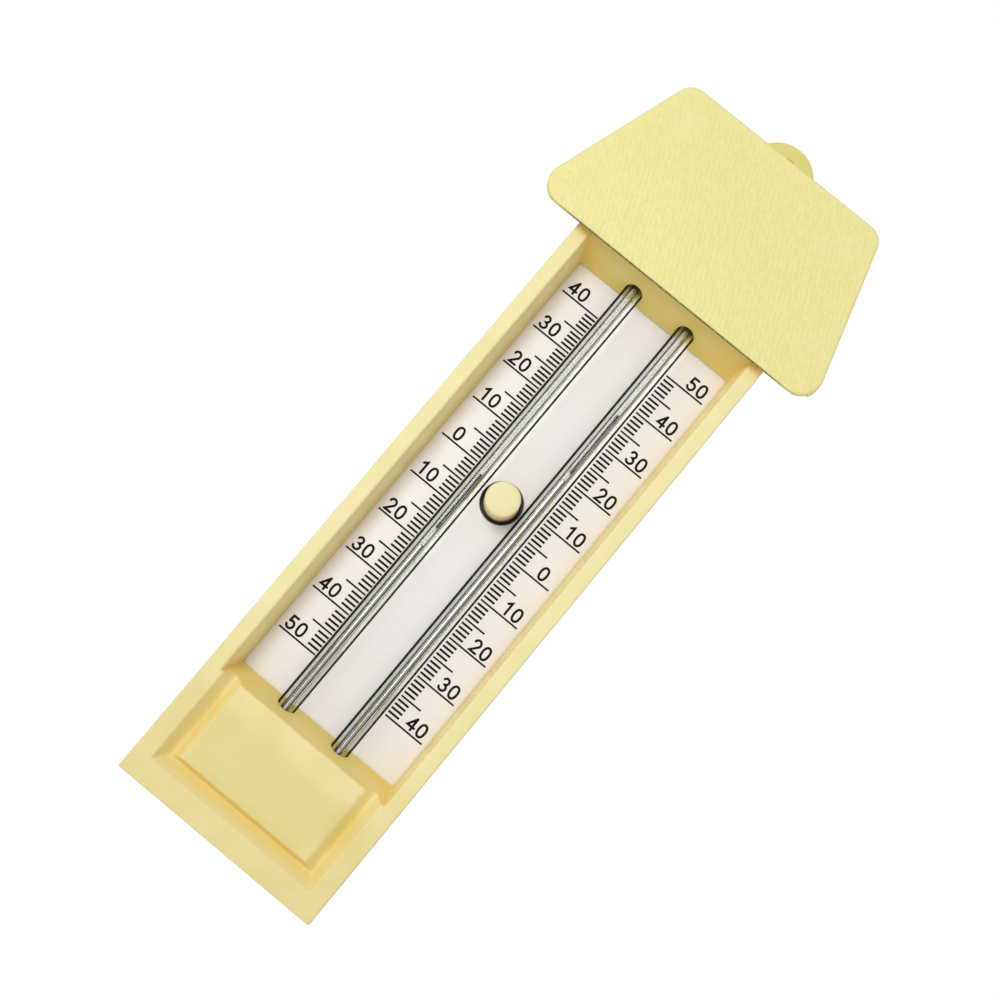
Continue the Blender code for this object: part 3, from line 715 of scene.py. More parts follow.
def zinc_look():
    look = Look("screw_zinc")
    look.set(Metallic=1.0)
    spots = look.span(look.noise(700.0, 4.0), 0.35, 0.75)
    base = look.blend(spots, (0.66, 0.66, 0.64), (0.50, 0.50, 0.48))
    # darker in the hollows of the head and the thread
    base = look.blend(look.span(look.hollow(0.8), 0.2, 0.9, 0.0, 0.8), base, (0.10, 0.09, 0.08))
    look.colour(base)
    look.rough(look.noise(900.0, 3.0), 0.26, 0.46)
    look.bump(look.noise(1600.0, 2.0), 0.3, 0.02)
    return look.material


ZINC = zinc_look()


def glass_look(name, tint, edge, start):
    """Clear glass with painted shade where it is seen edge on."""
    look = Look(name)
    look.set(IOR=1.47, Roughness=0.015)
    look.shader.inputs["Transmission Weight"].default_value = 1.0
    normal = look.node("ShaderNodeNewGeometry")
    side = look.node("ShaderNodeSeparateXYZ")
    look.link(normal.outputs["Normal"], side.inputs[0])
    # painted shade: the limbs' bores get a painted dark line of their own, widened on the left
    spot = look.node("ShaderNodeSeparateXYZ")
    look.link(look.place, spot.inputs[0])
    off_x = look.math("SUBTRACT", look.math("ABSOLUTE", spot.outputs["X"]), LIMB_X * MM)
    off_y = look.math("SUBTRACT", spot.outputs["Y"], LIMB_Y * MM)
    off = look.math("SQRT", look.math("ADD", look.math("MULTIPLY", off_x, off_x), look.math("MULTIPLY", off_y, off_y)))
    bore = look.span(off, 1.0 * MM, 1.4 * MM, 1.0, 0.0)
    # painted shade: the dark outline is wider on the left side of each tube
    lean = look.math("MULTIPLY", side.outputs["X"], look.span(bore, 0.0, 1.0, -0.035, -0.19))
    outline_shade = look.math("ADD", look.turned_away(), lean)
    rim = look.span(outline_shade, start, start + 0.05)
    # faint streaks along the tube, left by drawing it
    streaks = look.noise(1.0, 2.0, 0.5, (420.0, 420.0, 9.0))
    body = look.blend(look.span(streaks, 0.3, 0.7), tint, tuple(c * 0.97 for c in tint))
    look.colour(look.blend(rim, body, edge))
    # painted shade: where the glass is seen edge on it passes little light and reflects none, so the dark outline
    # colour shows
    look.link(look.span(rim, 0.0, 1.0, 1.0, 0.2), look.shader.inputs["Transmission Weight"])
    look.link(look.span(rim, 0.0, 1.0, 0.5, 0.0), look.shader.inputs["Specular IOR Level"])
    look.bump(streaks, 0.05, 0.004)
    return look.material


GLASS = glass_look("clear_glass", (0.82, 0.835, 0.805), (0.006, 0.007, 0.007), 0.33)
SPIRIT = glass_look("spirit", (0.96, 0.975, 0.975), (0.55, 0.58, 0.58), 0.86)
SPIRIT.node_tree.nodes["Principled BSDF"].inputs["IOR"].default_value = 1.36


def dress(made, look, body, slot, *nodes):
    """Gives a finished piece its material, its body and the CAD nodes it stands for."""
    made.data.materials.clear()
    made.data.materials.append(look)
    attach(made, body)
    if nodes:
        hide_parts(*nodes)
    return made


# ==============================================================================
# floor
# ==============================================================================
work = bmesh.new()
bmesh.ops.create_circle(work, cap_ends=True, segments=96, radius=2.6)
bmesh.ops.translate(work, verts=work.verts, vec=(0.0, 0.0, LOW_Z - 0.62))
floor = object_of(work, "floor")
floor_look = Look("pale_floor")
floor_look.set(Roughness=0.9)
floor_look.shader.inputs["Specular IOR Level"].default_value = 0.1
floor_look.colour(
    floor_look.blend(floor_look.noise(0.8, 2.0), (0.97, 0.97, 0.965), (0.955, 0.955, 0.95))
)
# the floor thins out towards its round edge, so that it meets the white studio softly
spread = floor_look.node("ShaderNodeVectorMath", operation="LENGTH")
level = floor_look.node("ShaderNodeVectorMath", operation="MULTIPLY")
level.inputs[1].default_value = (1.0, 1.0, 0.0)
floor_look.link(floor_look.place, level.inputs[0])
floor_look.link(level.outputs["Vector"], spread.inputs[0])
floor_look.link(
    floor_look.span(spread.outputs["Value"], 0.9, 2.5, 1.0, 0.0), floor_look.shader.inputs["Alpha"]
)
floor.data.materials.append(floor_look.material)
floor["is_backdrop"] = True


# ==============================================================================
# front case
# ==============================================================================
def spaced(*spans):
    """Values from (start, end, count) spans that follow one another."""
    values = []
    for start, end, count in spans:
        values += [start + (end - start) * i / count for i in range(count)]
    return values + [spans[-1][1]]


def soft_low(a, b, width):
    """The lower of two depths, with the crease between them rounded."""
    k = np.minimum(width, 2.0 * np.minimum(a, b))
    k = np.maximum(k, 1e-6)
    t = np.clip(0.5 + 0.5 * (b - a) / k, 0.0, 1.0)
    return b * (1 - t) + a * t - k * t * (1 - t)


def soft_high(a, b, width):
    k = np.minimum(width, 2.0 * np.maximum(np.minimum(a, b), 0.0))
    k = np.maximum(k, 1e-6)
    t = np.clip(0.5 + 0.5 * (a - b) / k, 0.0, 1.0)
    return b * (1 - t) + a * t + k * t * (1 - t)


def wall(s, steep, radius):
    """How deep a drafted wall is at a distance s inside its rim, the rim's edge rounded."""
    root = math.sqrt(1 + steep * steep)
    centre = radius * (1 - root) / steep
    touch = centre + radius * steep / root
    inside = np.clip(s - centre, 0.0, touch - centre)
    curved = radius - np.sqrt(np.maximum(radius * radius - inside * inside, 0.0))
    return np.where(s < centre, 0.0, np.where(s > touch, steep * s, curved))


RECESS_BACK_Y = -15.9
RECESS_FRONT = (25.2, 32.1, 172.3)
RECESS_BACK = (23.6, 36.9, 166.4)
POCKET_FRONT, POCKET_BACK, POCKET_DEPTH = (24.4, 6.0), (22.1, 9.2), 3.1
PANEL_FACE, PANEL_FOOT, PANEL_DROP, PANEL_FOOT_DEPTH = (19.1, 10.7), (21.6, 9.5), 1.0, 3.6
CORNER_R, OUTER_R = 0.55, 0.5

right = spaced(
    (0.0, 18.2, 3),
    (18.2, 19.9, 9),
    (19.9, 20.9, 3),
    (20.9, 22.7, 12),
    (22.7, 24.1, 5),
    (24.1, 24.75, 7),
    (24.75, 25.05, 2),
    (25.05, 25.8, 12),
    (25.8, HALF_W - CORNER_R, 3),
    (HALF_W - CORNER_R, HALF_W, 7),
)
xs = np.array([-x for x in reversed(right)] + right[1:])
hs = np.array(
    spaced(
        (0.0, CORNER_R, 7),
        (CORNER_R, 5.4, 3),
        (5.4, 6.5, 9),
        (6.5, 8.5, 4),
        (8.5, 11.3, 18),
        (11.3, 31.3, 5),
        (31.3, 33.6, 16),
        (33.6, 36.9, 9),
        (36.9, 38.0, 2),
        (38.0, 164.8, 8),
        (164.8, 166.4, 3),
        (166.4, 171.4, 6),
        (171.4, 173.1, 14),
        (173.1, CASE_TOP - CORNER_R, 3),
        (CASE_TOP - CORNER_R, CASE_TOP, 7),
    )
)
X, H = np.meshgrid(xs, hs, indexing="ij")
recess_depth = RECESS_BACK_Y - RIM_Y
steep_side = recess_depth / (RECESS_FRONT[0] - RECESS_BACK[0])
steep_low = recess_depth / (RECESS_BACK[1] - RECESS_FRONT[1])
steep_top = recess_depth / (RECESS_FRONT[2] - RECESS_BACK[2])
recess = soft_low(
    wall(RECESS_FRONT[0] - np.abs(X), steep_side, 0.65),
    soft_low(
        wall(H - RECESS_FRONT[1], steep_low, 0.5),
        wall(RECESS_FRONT[2] - H, steep_top, 0.65),
        0.5,
    ),
    1.6,
)
recess = np.minimum(recess, recess_depth + 0.9)
pocket = soft_low(
    wall(POCKET_FRONT[0] - np.abs(X), POCKET_DEPTH / (POCKET_FRONT[0] - POCKET_BACK[0]), 0.55),
    wall(H - POCKET_FRONT[1], POCKET_DEPTH / (POCKET_BACK[1] - POCKET_FRONT[1]), 0.55),
    0.9,
)
pocket = soft_low(pocket, np.full_like(pocket, POCKET_DEPTH), 0.9)
pocket = np.where(H > 38.0, 0.0, pocket)
depth = soft_high(recess, pocket, 0.5)
foot = PANEL_FOOT_DEPTH - PANEL_DROP
panel = soft_high(
    np.full_like(X, PANEL_DROP),
    np.maximum((np.abs(X) - PANEL_FACE[0]) * foot / (PANEL_FOOT[0] - PANEL_FACE[0]) + PANEL_DROP, 0.0),
    0.55,
)
panel = soft_high(
    panel,
    np.maximum((PANEL_FACE[1] - H) * foot / (PANEL_FACE[1] - PANEL_FOOT[1]) + PANEL_DROP, 0.0),
    0.55,
)
panel = soft_high(panel, np.maximum((H - RECESS_FRONT[1]) * steep_low, 0.0), 0.8)
depth = soft_low(depth, panel, 0.7)
edge = np.maximum(
    np.abs(X) - (HALF_W - CORNER_R),
    np.maximum(CORNER_R - H, H - (CASE_TOP - CORNER_R)),
)
from_side = np.clip(CORNER_R - edge, 0.0, OUTER_R)
outer = OUTER_R - np.sqrt(np.maximum(OUTER_R**2 - (OUTER_R - from_side) ** 2, 0.0))
depth = np.maximum(depth, outer)

# The four outer corners turn from a square grid into round ones.
WX, WH = X.copy(), H.copy()
for sx in (-1, 1):
    for low in (True, False):
        u = (sx * X - (HALF_W - CORNER_R)) / CORNER_R
        v = (CORNER_R - H) / CORNER_R if low else (H - (CASE_TOP - CORNER_R)) / CORNER_R
        near = (u > 0) & (v > 0)
        longest = np.maximum(u, v)
        pull = np.where(near, longest / np.maximum(np.hypot(u, v), 1e-9), 1.0)
        WX = np.where(near, sx * (HALF_W - CORNER_R + u * pull * CORNER_R), WX)
        WH = np.where(
            near,
            (CORNER_R - v * pull * CORNER_R) if low else (CASE_TOP - CORNER_R + v * pull * CORNER_R),
            WH,
        )

work = bmesh.new()
rows, columns = X.shape
grid = [
    [work.verts.new(at(WX[i, j], RIM_Y + depth[i, j], WH[i, j])) for j in range(columns)]
    for i in range(rows)
]
for i in range(rows - 1):
    for j in range(columns - 1):
        work.faces.new((grid[i][j], grid[i + 1][j], grid[i + 1][j + 1], grid[i][j + 1]))
rim = (
    [grid[i][0] for i in range(rows)]
    + [grid[rows - 1][j] for j in range(1, columns)]
    + [grid[i][columns - 1] for i in range(rows - 2, -1, -1)]
    + [grid[0][j] for j in range(columns - 2, 0, -1)]
)
back = [work.verts.new((v.co.x, CASE_BACK_Y * MM, v.co.z)) for v in rim]
for i in range(len(rim)):
    j = (i + 1) % len(rim)
    work.faces.new((rim[j], rim[i], back[i], back[j]))
work.faces.new(back)
case = object_of(work, "case_moulding")

CASE_SCREWS = ((-21.0, 12.0), (21.0, 12.0), (-21.0, 173.4), (21.0, 173.4))
HOOD_SCREWS = ((-23.5, 208.0), (23.5, 208.0))
inner = HALF_W - 2.0
combine(
    case,
    [
        box("cavity", (-inner, inner), (RECESS_BACK_Y, 5.0), (2.0, CASE_TOP - 2.0)),
        box("cavity_low", (-inner + 0.05, inner - 0.05), (-21.45, -10.0), (2.05, 28.9)),
    ],
)
combine(
    case,
    [
        rod_y(f"boss_{i}", x, h, 3.2, (-22.0 if h < 50 else -16.4, -4.3), 28)
        for i, (x, h) in enumerate(CASE_SCREWS)
    ]
    + [
        box("rib_left", (-27.4, -24.4), (-16.2, -4.2), (104.0, 105.4)),
        box("rib_right", (24.4, 27.4), (-16.2, -4.2), (104.0, 105.4)),
    ],
    "UNION",
)
cutters = [
    rod_y(f"pilot_{i}", x, h, 1.3, (-13.5, 1.0), 20) for i, (x, h) in enumerate(CASE_SCREWS)
]
for x in (-LIMB_X, LIMB_X):
    for h, gap, y in (((24.0, 45.0), (24.1, 31.5), -10.0), ((160.0, 185.0), (171.5, 184.9), 1.0)):
        cutters.append(rod_z("slot", x, LIMB_Y, 2.54, h, 64))
        cutters.append(box("mouth", (x - 2.52, x + 2.52), (LIMB_Y, y), gap))
combine(case, cutters)
shade(case, 38.0)
dress(case, CREAM, "case", "case_cream", "front_case")


# ==============================================================================
# rear cover and hanging eyelet
# ==============================================================================
EYELET_R, EYELET_H = 9.4, COVER_HIGH[2] - 9.4
EYELET_HOLE_R, EYELET_HOLE_H = 3.0, 223.3
COVER_H = 217.5
corner, fillet = 1.2, 1.3
joint_x = EYELET_R + fillet
outline = (
    arc(HALF_W - corner, corner, corner, -90, 0, 6)
    + arc(HALF_W - corner, COVER_H - corner, corner, 0, 90, 6)
    + arc(joint_x, COVER_H + fillet, fillet, 270, 180, 6)
    + arc(0.0, EYELET_H, EYELET_R, 0, 180, 40)
    + arc(-joint_x, COVER_H + fillet, fillet, 0, -90, 6)
    + arc(-HALF_W + corner, COVER_H - corner, corner, 90, 180, 6)
    + arc(-HALF_W + corner, corner, corner, 180, 270, 6)
)
cover = slab("back_plate", outline, -2.0, 0.0, 0.45, 0.45, 3)
pieces = [
    rod_y(f"pad_{i}", x, h, 4.2, (-4.0, -1.0), 32)
    for i, (x, h) in enumerate(CASE_SCREWS + HOOD_SCREWS)
]
pieces += [
    rod_y(f"post_{i}", x, h, 2.0, (-14.1, -1.0), 20)
    for i, (x, h) in enumerate(((-19.0, 60.0), (19.0, 60.0), (-19.0, 150.0), (19.0, 150.0)))
]
pieces.append(rod_y("spring_post", 0.0, BUTTON_H, 3.4, (-5.2, -1.0), 32))
pieces.append(box("saddle_rib", (-10.0, 10.0), (-12.0, -1.0), (19.5, 31.0)))
combine(cover, pieces, "UNION")
cutters = []
for i, (x, h) in enumerate(CASE_SCREWS + HOOD_SCREWS):
    cutters.append(
        lathe(
            f"counterbore_{i}",
            ((0.0, 6.0), (1.7, 6.0), (1.7, 2.2), (3.0, 2.2), (3.0, 0.25), (3.5, -0.3), (3.5, -1.0), (0.0, -1.0)),
            at(x, 0.0, h),
            "-Y",
            40,
        )
    )
cutters.append(
    lathe(
        "eyelet_hole",
        ((0.0, 3.0), (3.6, 3.0), (3.5, 2.15), (3.12, 1.78), (3.0, 1.5), (3.0, 0.5), (3.12, 0.22), (3.5, -0.15), (3.6, -1.0), (0.0, -1.0)),
        at(0.0, 0.0, EYELET_HOLE_H),
        "-Y",
        48,
    )
)
# shallow marks of the mould's ejector pins, in the face against the wall
for i, (x, h) in enumerate(((-12.0, 40.0), (12.0, 40.0), (-12.0, 128.0), (12.0, 128.0), (0.0, 196.0))):
    cutters.append(rod_y(f"ejector_{i}", x, h, 2.6, (-0.12, 1.0), 32))
combine(cover, cutters)
shade(cover, 32.0)
dress(cover, CREAM, "case", "case_cream", "rear_cover")


# ==============================================================================
# rain hood
# ==============================================================================
HOOD_FOOT_H, HOOD_TOP_H = HOOD_LOW[2], HOOD_HIGH[2]
HOOD_FOOT_HALF, HOOD_TOP_HALF = 43.9, 30.6
HOOD_FOOT_Y, HOOD_TOP_Y = HOOD_LOW[1], -22.5
HOOD_T = 2.0


def hood_outline(inset, foot_h, steps):
    rise = HOOD_TOP_H - HOOD_FOOT_H
    run = HOOD_FOOT_HALF - HOOD_TOP_HALF
    lean = math.atan2(run, rise)
    side = inset / math.cos(lean)
    top_h = HOOD_TOP_H - inset
    low_r, top_r = max(6.0 - inset, 0.5), max(5.0 - inset, 0.5)

    def half(h):
        return HOOD_FOOT_HALF - (h - HOOD_FOOT_H) * run / rise - side

    low_x = half(foot_h) - low_r / math.tan((math.pi / 2 - lean) / 2)
    top_x = half(top_h) - top_r / math.tan((math.pi / 2 + lean) / 2)
    turn = math.degrees(lean)
    made = arc(low_x, foot_h + low_r, low_r, -90, turn, steps) + arc(
        top_x, top_h - top_r, top_r, turn, 90, steps
    )
    return made + [(-x, h) for x, h in reversed(made)]


def hood_face(behind):
    rate = (HOOD_TOP_Y - HOOD_FOOT_Y) / (HOOD_TOP_H - HOOD_FOOT_H)
    return lambda h: HOOD_FOOT_Y + (h - HOOD_FOOT_H) * rate + behind


hood = slab(
    "hood_moulding", hood_outline(0.0, HOOD_FOOT_H, 16), hood_face(0.0), CASE_BACK_Y, 0.8, 0.0, 5
)
hollow = slab(
    "hood_hollow", hood_outline(HOOD_T, HOOD_FOOT_H - 9.0, 10), hood_face(HOOD_T + 0.05), 3.0, 0.7, 0.0, 4
)
work = bmesh.new()
ring = [
    work.verts.new(at(-60.0, y, h)) for y, h in ((8.0, 206.0), (-27.6, 171.0), (-27.6, 160.0), (8.0, 160.0))
]
moved = bmesh.ops.extrude_face_region(work, geom=[work.faces.new(ring)])["geom"]
bmesh.ops.translate(
    work, vec=(0.12, 0.0, 0.0), verts=[g for g in moved if isinstance(g, bmesh.types.BMVert)]
)
mouth = object_of(work, "hood_mouth")
# the front panel thins towards its foot, so that it stands clear of the case's rim
thinned = box("thinned", (-37.5, 37.5), (-28.7, -20.0), (165.0, 174.5))
combine(hood, [hollow, mouth, thinned])
step = hood.modifiers.new("lip", "BEVEL")
step.width = 0.3 * MM
step.segments = 2
step.limit_method = "ANGLE"
step.angle_limit = math.radians(50)
applied(hood)
combine(
    hood,
    [rod_y(f"hood_boss_{i}", x, h, 3.2, (-22.6, -4.3), 28) for i, (x, h) in enumerate(HOOD_SCREWS)],
    "UNION",
)
combine(
    hood,
    [rod_y(f"hood_pilot_{i}", x, h, 1.3, (-13.5, 1.0), 20) for i, (x, h) in enumerate(HOOD_SCREWS)],
)
shade(hood, 32.0)
dress(hood, CREAM_HOOD, "case", "hood_cream", "rain_hood")


# ==============================================================================
# scale plate and its printing
# ==============================================================================
corner = 1.5
half_w = PLATE_HIGH[0]
plate = slab(
    "dial_plate",
    arc(half_w - corner, PLATE_LOW[2] + corner, corner, -90, 0, 6)
    + arc(half_w - corner, PLATE_HIGH[2] - corner, corner, 0, 90, 6)
    + arc(-half_w + corner, PLATE_HIGH[2] - corner, corner, 90, 180, 6)
    + arc(-half_w + corner, PLATE_LOW[2] + corner, corner, 180, 270, 6),
    PLATE_FRONT_Y,
    PLATE_BACK_Y,
    0.15,
    0.15,
    2,
)
combine(
    plate,
    [
        lathe(
            "button_hole",
            ((0.0, 18.0), (5.5, 18.0), (5.5, 15.65), (5.3, 15.4), (5.3, 12.0), (0.0, 12.0)),
            at(0.0, 0.0, BUTTON_H),
            "-Y",
            64,
        )
    ],
)
shade(plate, 32.0)
dress(plate, WHITE, "case", "scale_white", "scale_plate")

INK_Y = PLATE_FRONT_Y - 0.035


def mark(work, x, h, thick):
    """One printed line between two values of x, centred on height h."""
    corners = []
    for y in (INK_Y, PLATE_FRONT_Y - 0.002):
        for a, b in ((x[0], -thick / 2), (x[1], -thick / 2), (x[1], thick / 2), (x[0], thick / 2)):
            corners.append(work.verts.new(at(a, y, h + b)))
    f, b = corners[:4], corners[4:]
    work.faces.new(f)
    work.faces.new(list(reversed(b)))
    for i in range(4):
        j = (i + 1) % 4
        work.faces.new((f[j], f[i], b[i], b[j]))


def bowl(cx, cz, rx, rz, start, end, count=14):
    """Points on an ellipse, angles in degrees."""
    return [
        (
            cx + rx * math.cos(math.radians(start + (end - start) * i / count)),
            cz + rz * math.sin(math.radians(start + (end - start) * i / count)),
        )
        for i in range(count + 1)
    ]


def ring_of(cx, cz, rx, rz, power, count=36):
    """A closed loop between an ellipse and a rounded rectangle."""
    made = []
    for i in range(count):
        c, s = math.cos(2 * math.pi * i / count), math.sin(2 * math.pi * i / count)
        made.append(
            (
                cx + rx * math.copysign(abs(c) ** (2 / power), c),
                cz + rz * math.copysign(abs(s) ** (2 / power), s),
            )
        )
    return made


# Plain even strokes in a box 0.62 wide and 1 tall: (closed, points).
STROKES = {
    "0": [(True, ring_of(0.31, 0.5, 0.245, 0.435, 2.35))],
    "1": [(False, [(0.16, 0.76), (0.39, 0.935), (0.39, 0.065)])],
    "2": [
        (False, bowl(0.30, 0.685, 0.225, 0.25, 168, -28) + [(0.075, 0.068), (0.555, 0.068)]),
    ],
    "3": [
        (
            False,
            bowl(0.285, 0.725, 0.20, 0.21, 160, -78, 12) + bowl(0.28, 0.29, 0.245, 0.225, 82, -162, 14),
        ),
    ],
    "4": [(False, [(0.44, 0.065), (0.44, 0.935)]), (False, [(0.44, 0.935), (0.06, 0.29), (0.585, 0.29)])],
    "5": [
        (
            False,
            [(0.52, 0.93), (0.155, 0.93), (0.115, 0.55)] + bowl(0.29, 0.33, 0.25, 0.262, 128, -160, 16),
        ),
    ],
}
STROKE = 0.162


def stroke(work, points, closed, width, put, lift):
    """An even ribbon with round ends along points, as a thin closed solid."""
    vectors = [Vector(p) for p in points]
    count = len(vectors)
    sides = []
    for i, p in enumerate(vectors):
        ahead = vectors[(i + 1) % count] - p if closed or i + 1 < count else None
        behind = p - vectors[i - 1] if closed or i else None
        a = (ahead or behind).normalized()
        b = (behind or ahead).normalized()
        normal = Vector((-(a.y + b.y), a.x + b.x)).normalized()
        reach = min(1.0 / max(normal.dot(Vector((-a.y, a.x))), 0.2), 2.2)
        sides.append((p + normal * width / 2 * reach, p - normal * width / 2 * reach))

    def pair(p):
        x, z = put(p)
        return (
            work.verts.new(at(x, INK_Y - lift, z)),
            work.verts.new(at(x, PLATE_FRONT_Y - 0.002, z)),
        )

    left = [pair(a) for a, b in sides]
    right = [pair(b) for a, b in sides]
    last = count if closed else count - 1
    for i in range(last):
        j = (i + 1) % count
        work.faces.new((left[i][0], left[j][0], right[j][0], right[i][0]))
        work.faces.new((right[i][1], right[j][1], left[j][1], left[i][1]))
        work.faces.new((left[j][0], left[i][0], left[i][1], left[j][1]))
        work.faces.new((right[i][0], right[j][0], right[j][1], right[i][1]))
    if closed:
        return
    for end, way in ((0, -1), (count - 1, 1)):
        p = vectors[end]
        along = (vectors[1] - vectors[0] if end == 0 else vectors[-1] - vectors[-2]).normalized() * way
        across = (sides[end][0] - p).normalized()
        turn = [pair(p + (across * math.cos(math.pi * k / 6) + along * math.sin(math.pi * k / 6)) * width / 2) for k in range(1, 6)]
        loop = [left[end]] + turn + [right[end]]
        work.faces.new([v[0] for v in loop])
        work.faces.new([v[1] for v in reversed(loop)])
        for u, v in zip(loop, loop[1:]):
            work.faces.new((u[0], v[0], v[1], u[1]))


def digits(work, text, x, h, height):
    """A number in even strokes, its foot at h and its middle at x."""
    pitch = 0.78
    whole = 0.62 + pitch * (len(text) - 1)
    for place, letter in enumerate(text):
        for layer, (closed, points) in enumerate(STROKES[letter]):
            stroke(
                work,
                points,
                closed,
                STROKE,
                lambda p: (x + (p[0] + place * pitch - whole / 2) * height, h + p[1] * height),
                0.004 * layer,
            )


def min_h(t):
    return 111.01 - 1.202 * t - 0.000663 * t * t


def max_h(t):
    return 97.42 + 1.208 * t


for name, side, height_of in (("printed_min_scale", -1, min_h), ("printed_max_scale", 1, max_h)):
    work = bmesh.new()
    for t in range(-40, 51):
        if t % 10 == 0:
            reach, thick = 22.5, 0.45
        elif t % 5 == 0:
            reach, thick = 17.2, 0.45
        else:
            reach, thick = 14.4, 0.56
        mark(work, sorted((side * 11.15, side * reach)), height_of(t), thick)
    for t in range(-40, 51, 10):
        digits(work, str(abs(t)), side * 19.05, height_of(t) + 0.62, 3.75)
    printed = object_of(work, name)
    dress(printed, INK, "case", "scale_white")


# ==============================================================================
# glass, mercury and spirit
# ==============================================================================
def bend(count=36, drop=0.0):
    return [
        at(
            -LIMB_X * math.cos(math.pi * i / count),
            LIMB_Y,
            BEND_H - LIMB_X * math.sin(math.pi * i / count) - drop,
        )
        for i in range(count + 1)
    ]


BULB_Y, BULB_H, BULB_R, BULB_HALF = -12.0, 203.0, 4.5, 11.0
CHAMBER_LOW_H, CHAMBER_TOP_H, CHAMBER_R = 179.5, 193.5, 4.0
GLASS_T = 0.8


def neck(count=18):
    low, high = 182.0, 193.0
    made = []
    for i in range(count + 1):
        t = i / count
        ease = t * t * (3 - 2 * t)
        made.append(at(-LIMB_X, BULB_Y + (LIMB_Y - BULB_Y) * ease, high + (low - high) * t))
    return made


def straight(x, start, end, count):
    return [at(x, LIMB_Y, start + (end - start) * i / count) for i in range(count + 1)]


def limb_path(top, chamber_top):
    return [at(-LIMB_X, BULB_Y, top)] + neck() + straight(-LIMB_X, 181.0, 29.0, 12) + bend() + straight(
        LIMB_X, 29.0, chamber_top, 12
    )


def capsule(name, radius, half, steps=40, ends=10):
    profile = [
        (radius * math.sin(math.pi / 2 * i / ends), half + radius * math.cos(math.pi / 2 * i / ends))
        for i in range(ends + 1)
    ]
    profile[0] = (0.0, half + radius)
    profile += [(r, -z) for r, z in reversed(profile)]
    return lathe(name, profile, at(0.0, BULB_Y, BULB_H), "X", steps)


def pear(name, low, top, radius, neck_r, steps=40, rounds=10):
    profile = [
        (
            radius * math.sin(math.pi / 2 * i / rounds),
            top - radius + radius * math.cos(math.pi / 2 * i / rounds),
        )
        for i in range(rounds + 1)
    ]
    profile[0] = (0.0, top)
    for i in range(1, rounds + 1):
        t = i / rounds
        profile.append(
            (radius + (neck_r - radius) * t * t * (3 - 2 * t), (top - radius - 3.0) * (1 - t) + low * t)
        )
    profile.append((0.0, low))
    return lathe(name, profile, at(LIMB_X, LIMB_Y, 0.0), "Z", steps)


glass = sweep("glass_envelope", limb_path(BULB_H - 2.0, CHAMBER_LOW_H + 3.0), GLASS_R, 40)
combine(
    glass,
    [
        capsule("bulb", BULB_R, BULB_HALF),
        pear("chamber", CHAMBER_LOW_H, CHAMBER_TOP_H, CHAMBER_R, 2.3),
        lathe(
            "seal_tip",
            ((0.0, CHAMBER_TOP_H + 2.0), (0.6, CHAMBER_TOP_H + 2.0), (0.9, CHAMBER_TOP_H + 1.7), (0.9, CHAMBER_TOP_H + 0.5), (1.3, CHAMBER_TOP_H - 0.4), (0.0, CHAMBER_TOP_H - 1.0)),
            at(LIMB_X, LIMB_Y, 0.0),
            "Z",
            24,
        ),
    ],
    "UNION",
)
combine(
    glass,
    [
        sweep("bore", limb_path(BULB_H - 1.0, CHAMBER_LOW_H + 3.0), BORE_R, 20),
        capsule("bulb_inside", BULB_R - GLASS_T, BULB_HALF, 32, 8),
        pear("chamber_inside", CHAMBER_LOW_H + 0.8, CHAMBER_TOP_H - GLASS_T, CHAMBER_R - GLASS_T, BORE_R * 0.9, 32, 8),
        rod_z("tip_bore", LIMB_X, LIMB_Y, 0.4, (CHAMBER_TOP_H - 3.0, CHAMBER_TOP_H + 4.0), 12),
    ],
)
shade(glass, 40.0)
dress(glass, GLASS, "case", "clear_glass", "glass_u_tube")
# clear glass lets the lamps through to the plate behind it
glass.visible_shadow = False

THREAD_R = 0.60
LEFT_MENISCUS, RIGHT_MENISCUS = 86.15, THREAD_HIGH[2]


def domed(x, h, way, count=6):
    """The last points of the thread, where its surface bulges."""
    made, radii = [], []
    for i in range(count):
        t = math.pi / 2 * i / (count - 0.6)
        made.append(at(x, LIMB_Y, h + way * (-THREAD_R + THREAD_R * math.sin(t))))
        radii.append(THREAD_R * math.cos(t))
    return made, radii


left_end, left_radii = domed(-LIMB_X, LEFT_MENISCUS, 1)
right_end, right_radii = domed(LIMB_X, RIGHT_MENISCUS, 1)
middle = straight(-LIMB_X, LEFT_MENISCUS - 2.0, 29.0, 4) + bend() + straight(LIMB_X, 29.0, RIGHT_MENISCUS - 2.0, 6)
thread = sweep(
    "mercury_column",
    list(reversed(left_end)) + middle + right_end,
    list(reversed(left_radii)) + [THREAD_R] * len(middle) + right_radii,
    20,
)
shade(thread, 60.0)
dress(thread, MERCURY, "case", "mercury", "mercury_thread")


# ==============================================================================
# indexes
# ==============================================================================
for name, node, body, x in (
    ("min_index_pin", "min_index", "min_marker", -LIMB_X),
    ("max_index_pin", "max_index", "max_marker", LIMB_X),
):
    low, high = extent(node)
    radius = (high[0] - low[0]) / 2
    length = high[2] - low[2]
    profile = rounded(
        (
            (0.0, length),
            (radius * 0.95, length),
            (radius, length - 1.2),
            (radius * 0.72, length - 2.0),
            (radius * 0.72, 2.0),
            (radius, 1.2),
            (radius * 0.95, 0.0),
            (0.0, 0.0),
        ),
        0.3,
        4,
    )
    pin = lathe(name, profile, at(x, LIMB_Y, low[2]), "Z", 24)
    shade(pin, 40.0)
    dress(pin, STEEL, body, "index_steel", node)


